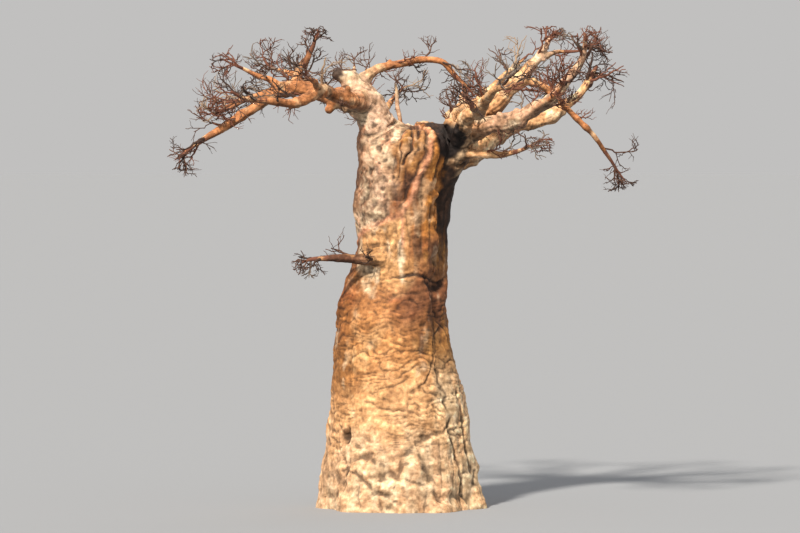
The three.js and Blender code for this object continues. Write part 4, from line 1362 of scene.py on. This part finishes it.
def bark_colours(skin, near, limbs, stain):
    """The bark's colour at each vertex, by where on the tree it is."""
    p = skin.vertices
    z = p[:, 2]
    front = (np.degrees(near.trunk_angle) + 300) % 360 - 300
    broad = fractal(p * 0.9, 2, 30)
    patch = fractal(p * 2.6, 3, 31)
    streak = fractal(p * (3.4, 3.4, 0.7), 3, 32)
    blotch = fractal(p * 4.1, 3, 33)
    trunk = trunk_colours(p, front, broad, patch, streak)
    colours = limb_colours(trunk, limbs, near, z, patch, blotch)
    # the left edge of the pale column, on the trunk and on the fork, is reddish
    across, _, up = skin.normals().T
    left_edge = smoothstep(-0.5, -0.9, across + 0.2 * patch) * smoothstep(5.8, 6.3, z) * (near.limb <= 1)
    colours = blend(colours, RUST * 1.1, 0.65 * left_edge)
    # the deep shade where the right boughs leave the head
    crotch = ((p[:, 0] - 1.12) / 0.32) ** 2 + ((z - 7.6) / 0.38) ** 2 + 0.5 * patch
    colours = blend(colours, DIRT_AND_SHADE * 0.5, smoothstep(1.45, 0.7, crotch) * smoothstep(0.25, 0.0, p[:, 1]))
    # mottling, drawn out level round the trunk, redder where it is darker
    mottle = 0.48 * fractal(p * (3.6, 3.6, 7.5), 3, 34) + 0.28 * fractal(p * 13, 2, 35)
    colours = colours * np.exp(mottle[:, None] * (0.9, 1.0, 1.15))
    # paler tops, and painted shade on the undersides, deepest on the limbs
    colours = blend(colours, colours * 1.18 + 0.02, 0.6 * np.clip(up, 0, 1) * smoothstep(5.5, 7.5, z))
    colours = blend(colours, colours * 0.62, 0.6 * np.clip(-up, 0, 1))
    colours = blend(colours, colours * 0.38, 0.85 * smoothstep(0.05, 0.8, -up) * (near.limb > 0))
    # painted shade, with a little dirt, in hollows and cracks, and painted highlights on ridges
    depth = np.clip(cavities(skin) / HOLLOW_DEPTH, -1, 1)
    colours = blend(colours, colours * 0.32 + DIRT_AND_SHADE * 0.25, 0.85 * smoothstep(0.05, 1.0, depth))
    colours = blend(colours, np.minimum(colours * 1.35, 0.9), 0.6 * smoothstep(0.1, 1.0, -depth))
    # the stain of grooves and scars: dark bark, with painted shade in the grooves
    return blend(colours, DIRT_AND_SHADE, stain * (0.85 + 0.2 * patch))


def new_material(name, specular):
    material = bpy.data.materials.new(name)
    material.use_nodes = True
    shader = material.node_tree.nodes["Principled BSDF"]
    shader.inputs["Specular IOR Level"].default_value = specular
    return material, shader


def plain_material(name, colour, roughness, specular):
    material, shader = new_material(name, specular)
    shader.inputs["Base Color"].default_value = (*colour, 1)
    shader.inputs["Roughness"].default_value = roughness
    return material


def bark_material(name, grain, bump):
    """Bark: its colour by place, mottled, with fine grain and pores."""
    material, shader = new_material(name, 0.35)
    nodes, link = material.node_tree.nodes, material.node_tree.links.new

    def add(kind, **values):
        node = nodes.new("ShaderNode" + kind)
        for key, value in values.items():
            node.inputs[key.replace("_", " ")].default_value = value
        return node

    place = add("TexCoord").outputs["Object"]
    colour = add("Attribute")
    colour.attribute_name = BARK_ATTRIBUTE
    mottle = add("TexNoise", Scale=grain, Detail=6, Roughness=0.62)
    shades = add("ValToRGB")
    for element, (position, *shade) in zip(shades.color_ramp.elements, GRAIN_SHADES):
        element.position = position
        element.color = (*shade, 1)
    tinted = add("Mix")
    tinted.data_type = "RGBA"
    tinted.blend_type = "MULTIPLY"
    tinted.inputs["Factor"].default_value = 1.0
    link(place, mottle.inputs["Vector"])
    link(mottle.outputs["Fac"], shades.inputs["Fac"])
    link(colour.outputs["Color"], tinted.inputs[6])
    link(shades.outputs["Color"], tinted.inputs[7])
    link(tinted.outputs[2], shader.inputs["Base Color"])

    fine = add("TexNoise", Scale=grain * 2.4, Detail=7, Roughness=0.7)
    raised = add("Bump", Strength=bump, Distance=0.02)
    gloss = add("MapRange", To_Min=0.62, To_Max=0.88)
    link(place, fine.inputs["Vector"])
    link(fine.outputs["Fac"], raised.inputs["Height"])
    link(raised.outputs["Normal"], shader.inputs["Normal"])
    link(fine.outputs["Fac"], gloss.inputs["Value"])
    link(gloss.outputs["Result"], shader.inputs["Roughness"])
    return material


def loops_round(quads):
    """The sides where faces end, each as a pair of vertices, gathered loop by loop."""
    sides = sides_of(quads)
    size = int(quads.max()) + 1
    is_open = ~np.isin(sides[:, 0] * size + sides[:, 1], sides[:, 1] * size + sides[:, 0])
    ahead = {}
    for a, b in sides[is_open].tolist():
        ahead.setdefault(a, []).append(b)
    loops = []
    while ahead:
        start = a = next(iter(ahead))
        loop = []
        while a in ahead:
            b = ahead[a].pop()
            if not ahead[a]:
                del ahead[a]
            loop.append((a, b))
            a = b
            if a == start:
                break
        loops.append(np.array(loop))
    return loops


def part_of_skin(name, skin, normals, colours, chosen, material):
    """One piece of the bark, with the whole skin's normals so that no seam shows. Where
    it was parted from the rest it is closed, inside the limbs."""
    quads = skin.quads[chosen]
    centres, ways, tones, caps = [], [], [], []
    for loop in loops_round(quads):
        rim = skin.vertices[loop[:, 0]]
        centre = rim.mean(axis=0)
        outward = normals[loop[:, 0]].mean(axis=0)
        if rim[:, 2].max() > ON_GROUND:
            centre = centre - outward * CAP_DEPTH * np.linalg.norm(rim - centre, axis=1).mean()
        caps.append(np.column_stack([loop[:, 1], loop[:, 0],
                                     np.full(len(loop), len(skin.vertices) + len(centres))]))
        centres.append(centre)
        ways.append(outward)
        tones.append(colours[loop[0, 0]])
    vertices, ways, tones = (np.concatenate([whole, np.reshape(added, (-1, 3))]) for whole, added in (
        (skin.vertices, centres), (normals, ways), (colours, tones)))
    caps = np.concatenate(caps)
    used = np.unique(np.concatenate([quads.ravel(), caps.ravel()]))
    index = np.zeros(len(vertices), np.int64)
    index[used] = np.arange(len(used))
    mesh = mesh_of(name, vertices[used], index[quads], index[caps])
    attribute = mesh.attributes.new(BARK_ATTRIBUTE, "FLOAT_COLOR", "POINT")
    rgba = np.column_stack([tones[used], np.ones(len(used))]).astype(np.float32)
    attribute.data.foreach_set("color", rgba.ravel())
    mesh.normals_split_custom_set_from_vertices(ways[used].astype(np.float32))
    mesh.materials.append(material)
    return add_object(name, mesh)


# The boughs' pieces of bark: name, a label for its bark and the boughs that each covers
BARK_PIECES = (
    ("bark_of_left_fork", "pale_bark", (FORK_NAME, KNOB_NAME)),
    ("bark_of_left_boughs", "bough_bark", (
        "left_arch", "left_front_bough", "left_front_spur", "left_rear_bough", "left_rear_spur",
        "left_spire", "left_spur", "left_side_spur", "low_left_bough")),
    ("bark_of_middle_boughs", "bough_bark", (
        "top_arch", "front_bough", "front_spur", "rear_bough", "rear_spur", "crotch_stick")),
    ("bark_of_right_boughs", "bough_bark", (
        "right_bough", "right_upper_bough", "right_out_spur", "right_drooper", "right_front_bough",
        "right_front_spur", "right_low_bough", "right_rear_bough", "right_rear_spur",
        "right_back_bough", "right_back_spur")),
)


def smooth_junctions(skin, limbs):
    """Rounds the creases between limbs, and more so the one between fork and trunk."""
    near = Nearest(skin.vertices, limbs)
    small = np.minimum(near.radius, near.next_radius)
    crease = np.clip(1 - np.maximum(near.next_gap, 0) / (0.5 * small + 0.03), 0, 1)
    skin.smooth(np.clip(crease * (small / 0.22) ** 2, 0, 0.5), CREASE_ROUNDS)
    fork = [i for i, limb in enumerate(limbs, start=1) if limb.name == FORK_NAME]
    beside = ((near.limb == 0) & np.isin(near.next_limb, fork)
              | (near.next_limb == 0) & np.isin(near.limb, fork))
    skin.smooth(np.where(beside, 0.6 * smoothstep(0.3, 0.1, near.next_gap), 0), FORK_ROUNDS)
    return near


def make_bark(grown):
    stems = {mass.on: grown[mass.node][0] for mass in masses}
    limbs = [limb_of(bough, stems.get(bough.name)) for bough in BOUGHS]
    for bough, limb in zip(BOUGHS[1:], limbs[1:]):
        limbs += stubs_of(limb, bough.length)
    skin = Skin(*remeshed(limbs))
    near = smooth_junctions(skin, limbs)
    stain = shape_bark(skin, near)
    skin.cut_at_ground()
    colours = bark_colours(skin, near, limbs, stain)
    normals = skin.normals()

    trunk_bark = bark_material("trunk bark", 13.0, 0.5)
    bough_bark = bark_material("bough bark", 17.0, 0.55)
    lengths = np.array([math.inf] + [bough_by_name[limb.name].length for limb in limbs])
    corner = skin.quads[:, 0]
    limb_number = near.limb[corner]
    on_stem = near.along[corner] > lengths[limb_number]

    def add(name, slot, chosen, material, nodes):
        piece = part_of_skin(name, skin, normals, colours, chosen, material)
        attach(piece, "root")
        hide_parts(*nodes)

    low = skin.vertices[corner, 2] < TRUNK_SPLIT
    add("bark_of_trunk_foot", "trunk_bark", (limb_number == 0) & low, trunk_bark, ["trunk"])
    add("bark_of_trunk_head", "trunk_bark", (limb_number == 0) & ~low, trunk_bark, ["trunk"])
    for name, slot, covered in BARK_PIECES:
        numbers = [i for i, limb in enumerate(limbs, start=1) if limb.name in covered]
        add(name, slot, np.isin(limb_number, numbers) & ~on_stem, bough_bark, covered)
    add("bark_of_stems", "twigs", (limb_number > 0) & on_stem, bough_bark, list(grown))


def heap_of_twigs(twigs, deal):
    """The twigs of one mass as one mesh. Each side twig of the stem is a spray, with a
    tone of its own that all that it carries shares."""
    heap = Heap()
    tone = 0
    for twig in twigs:
        if twig.level <= 1:
            dealt = int(np.searchsorted(np.cumsum(TWIG_SHARES), deal.random() * 0.999))
            tone = dealt if twig.level == 1 else 0
        shares = np.linspace(0, 1, len(twig.line))
        knots = 1 + TWIG_KNOTS * (deal.random(len(shares)) - 0.5)
        radii = lerp(twig.foot, twig.tip, shares) * knots
        if twig.level == 0:
            radii = radii * INSIDE_STEM
        heap.add(*tube(twig.line, radii, LEVELS[twig.level].sides), slot=tone)
    return heap


def make_twigs(grown):
    deal = np.random.default_rng(TONE_SEED)
    materials = [plain_material(name, linear(code), 0.82, 0.3) for name, code in TWIG_TONES]
    for mass in masses:
        twigs = grown[mass.node] + grow_shoots(bough_by_name[mass.on], courses[mass.on], spots,
                                               mass.seed + SHOOT_SEED)
        name = mass.node.replace("_twigs", "_sprays")
        piece = add_object(name, heap_of_twigs(twigs, deal).mesh(name))
        for material in materials:
            piece.data.materials.append(material)
        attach(piece, "root")
        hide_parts(mass.node)


def make_floor():
    angles = TAU * np.arange(FLOOR_SIDES) / FLOOR_SIDES
    ring = np.column_stack([np.cos(angles), np.sin(angles), 0 * angles]) * FLOOR_RADIUS
    vertices = np.concatenate([ring, [[0, 0, 0]]])
    j = np.arange(FLOOR_SIDES)
    tris = np.column_stack([j, (j + 1) % FLOOR_SIDES, np.full(FLOOR_SIDES, FLOOR_SIDES)])
    floor = add_object("floor", mesh_of("floor", vertices, np.zeros((0, 4), int), tris))
    floor.data.materials.append(plain_material("pale floor", FLOOR_COLOUR, 0.95, 0.1))


def make_camera():
    camera = bpy.data.cameras.new("camera")
    camera.sensor_width = SENSOR_WIDTH
    camera.lens = SENSOR_WIDTH * VIEW_DISTANCE / VIEW_WIDTH
    camera.clip_end = VIEW_END
    holder = add_object("camera", camera)
    back = Vector((0, -math.cos(math.radians(VIEW_RISE)), math.sin(math.radians(VIEW_RISE))))
    holder.location = VIEW_CENTRE + back * VIEW_DISTANCE
    holder.rotation_euler = (-back).to_track_quat("-Z", "Y").to_euler()
    bpy.context.scene.camera = holder


def add_sun(name, heading, rise, strength, spread, colour):
    lamp = bpy.data.lights.new(name, "SUN")
    lamp.energy = strength
    lamp.angle = math.radians(spread)
    lamp.color = colour
    to_light = Vector(direction(heading, rise))
    add_object(name, lamp).rotation_euler = to_light.to_track_quat("Z", "Y").to_euler()


def make_lights():
    add_sun("key", 244, 42, 5.3, 5, (1.0, 0.93, 0.82))
    add_sun("fill", 60, 40, 0.3, 40, (0.86, 0.92, 1.0))
    world = bpy.data.worlds.new("world")
    world.use_nodes = True
    background = world.node_tree.nodes["Background"]
    background.inputs["Color"].default_value = (0.86, 0.85, 0.84, 1)
    background.inputs["Strength"].default_value = 0.62
    bpy.context.scene.world = world
    bpy.context.scene.view_settings.view_transform = "Standard"


grown = grow_masses()
make_bark(grown)
make_twigs(grown)
make_floor()
make_camera()
make_lights()
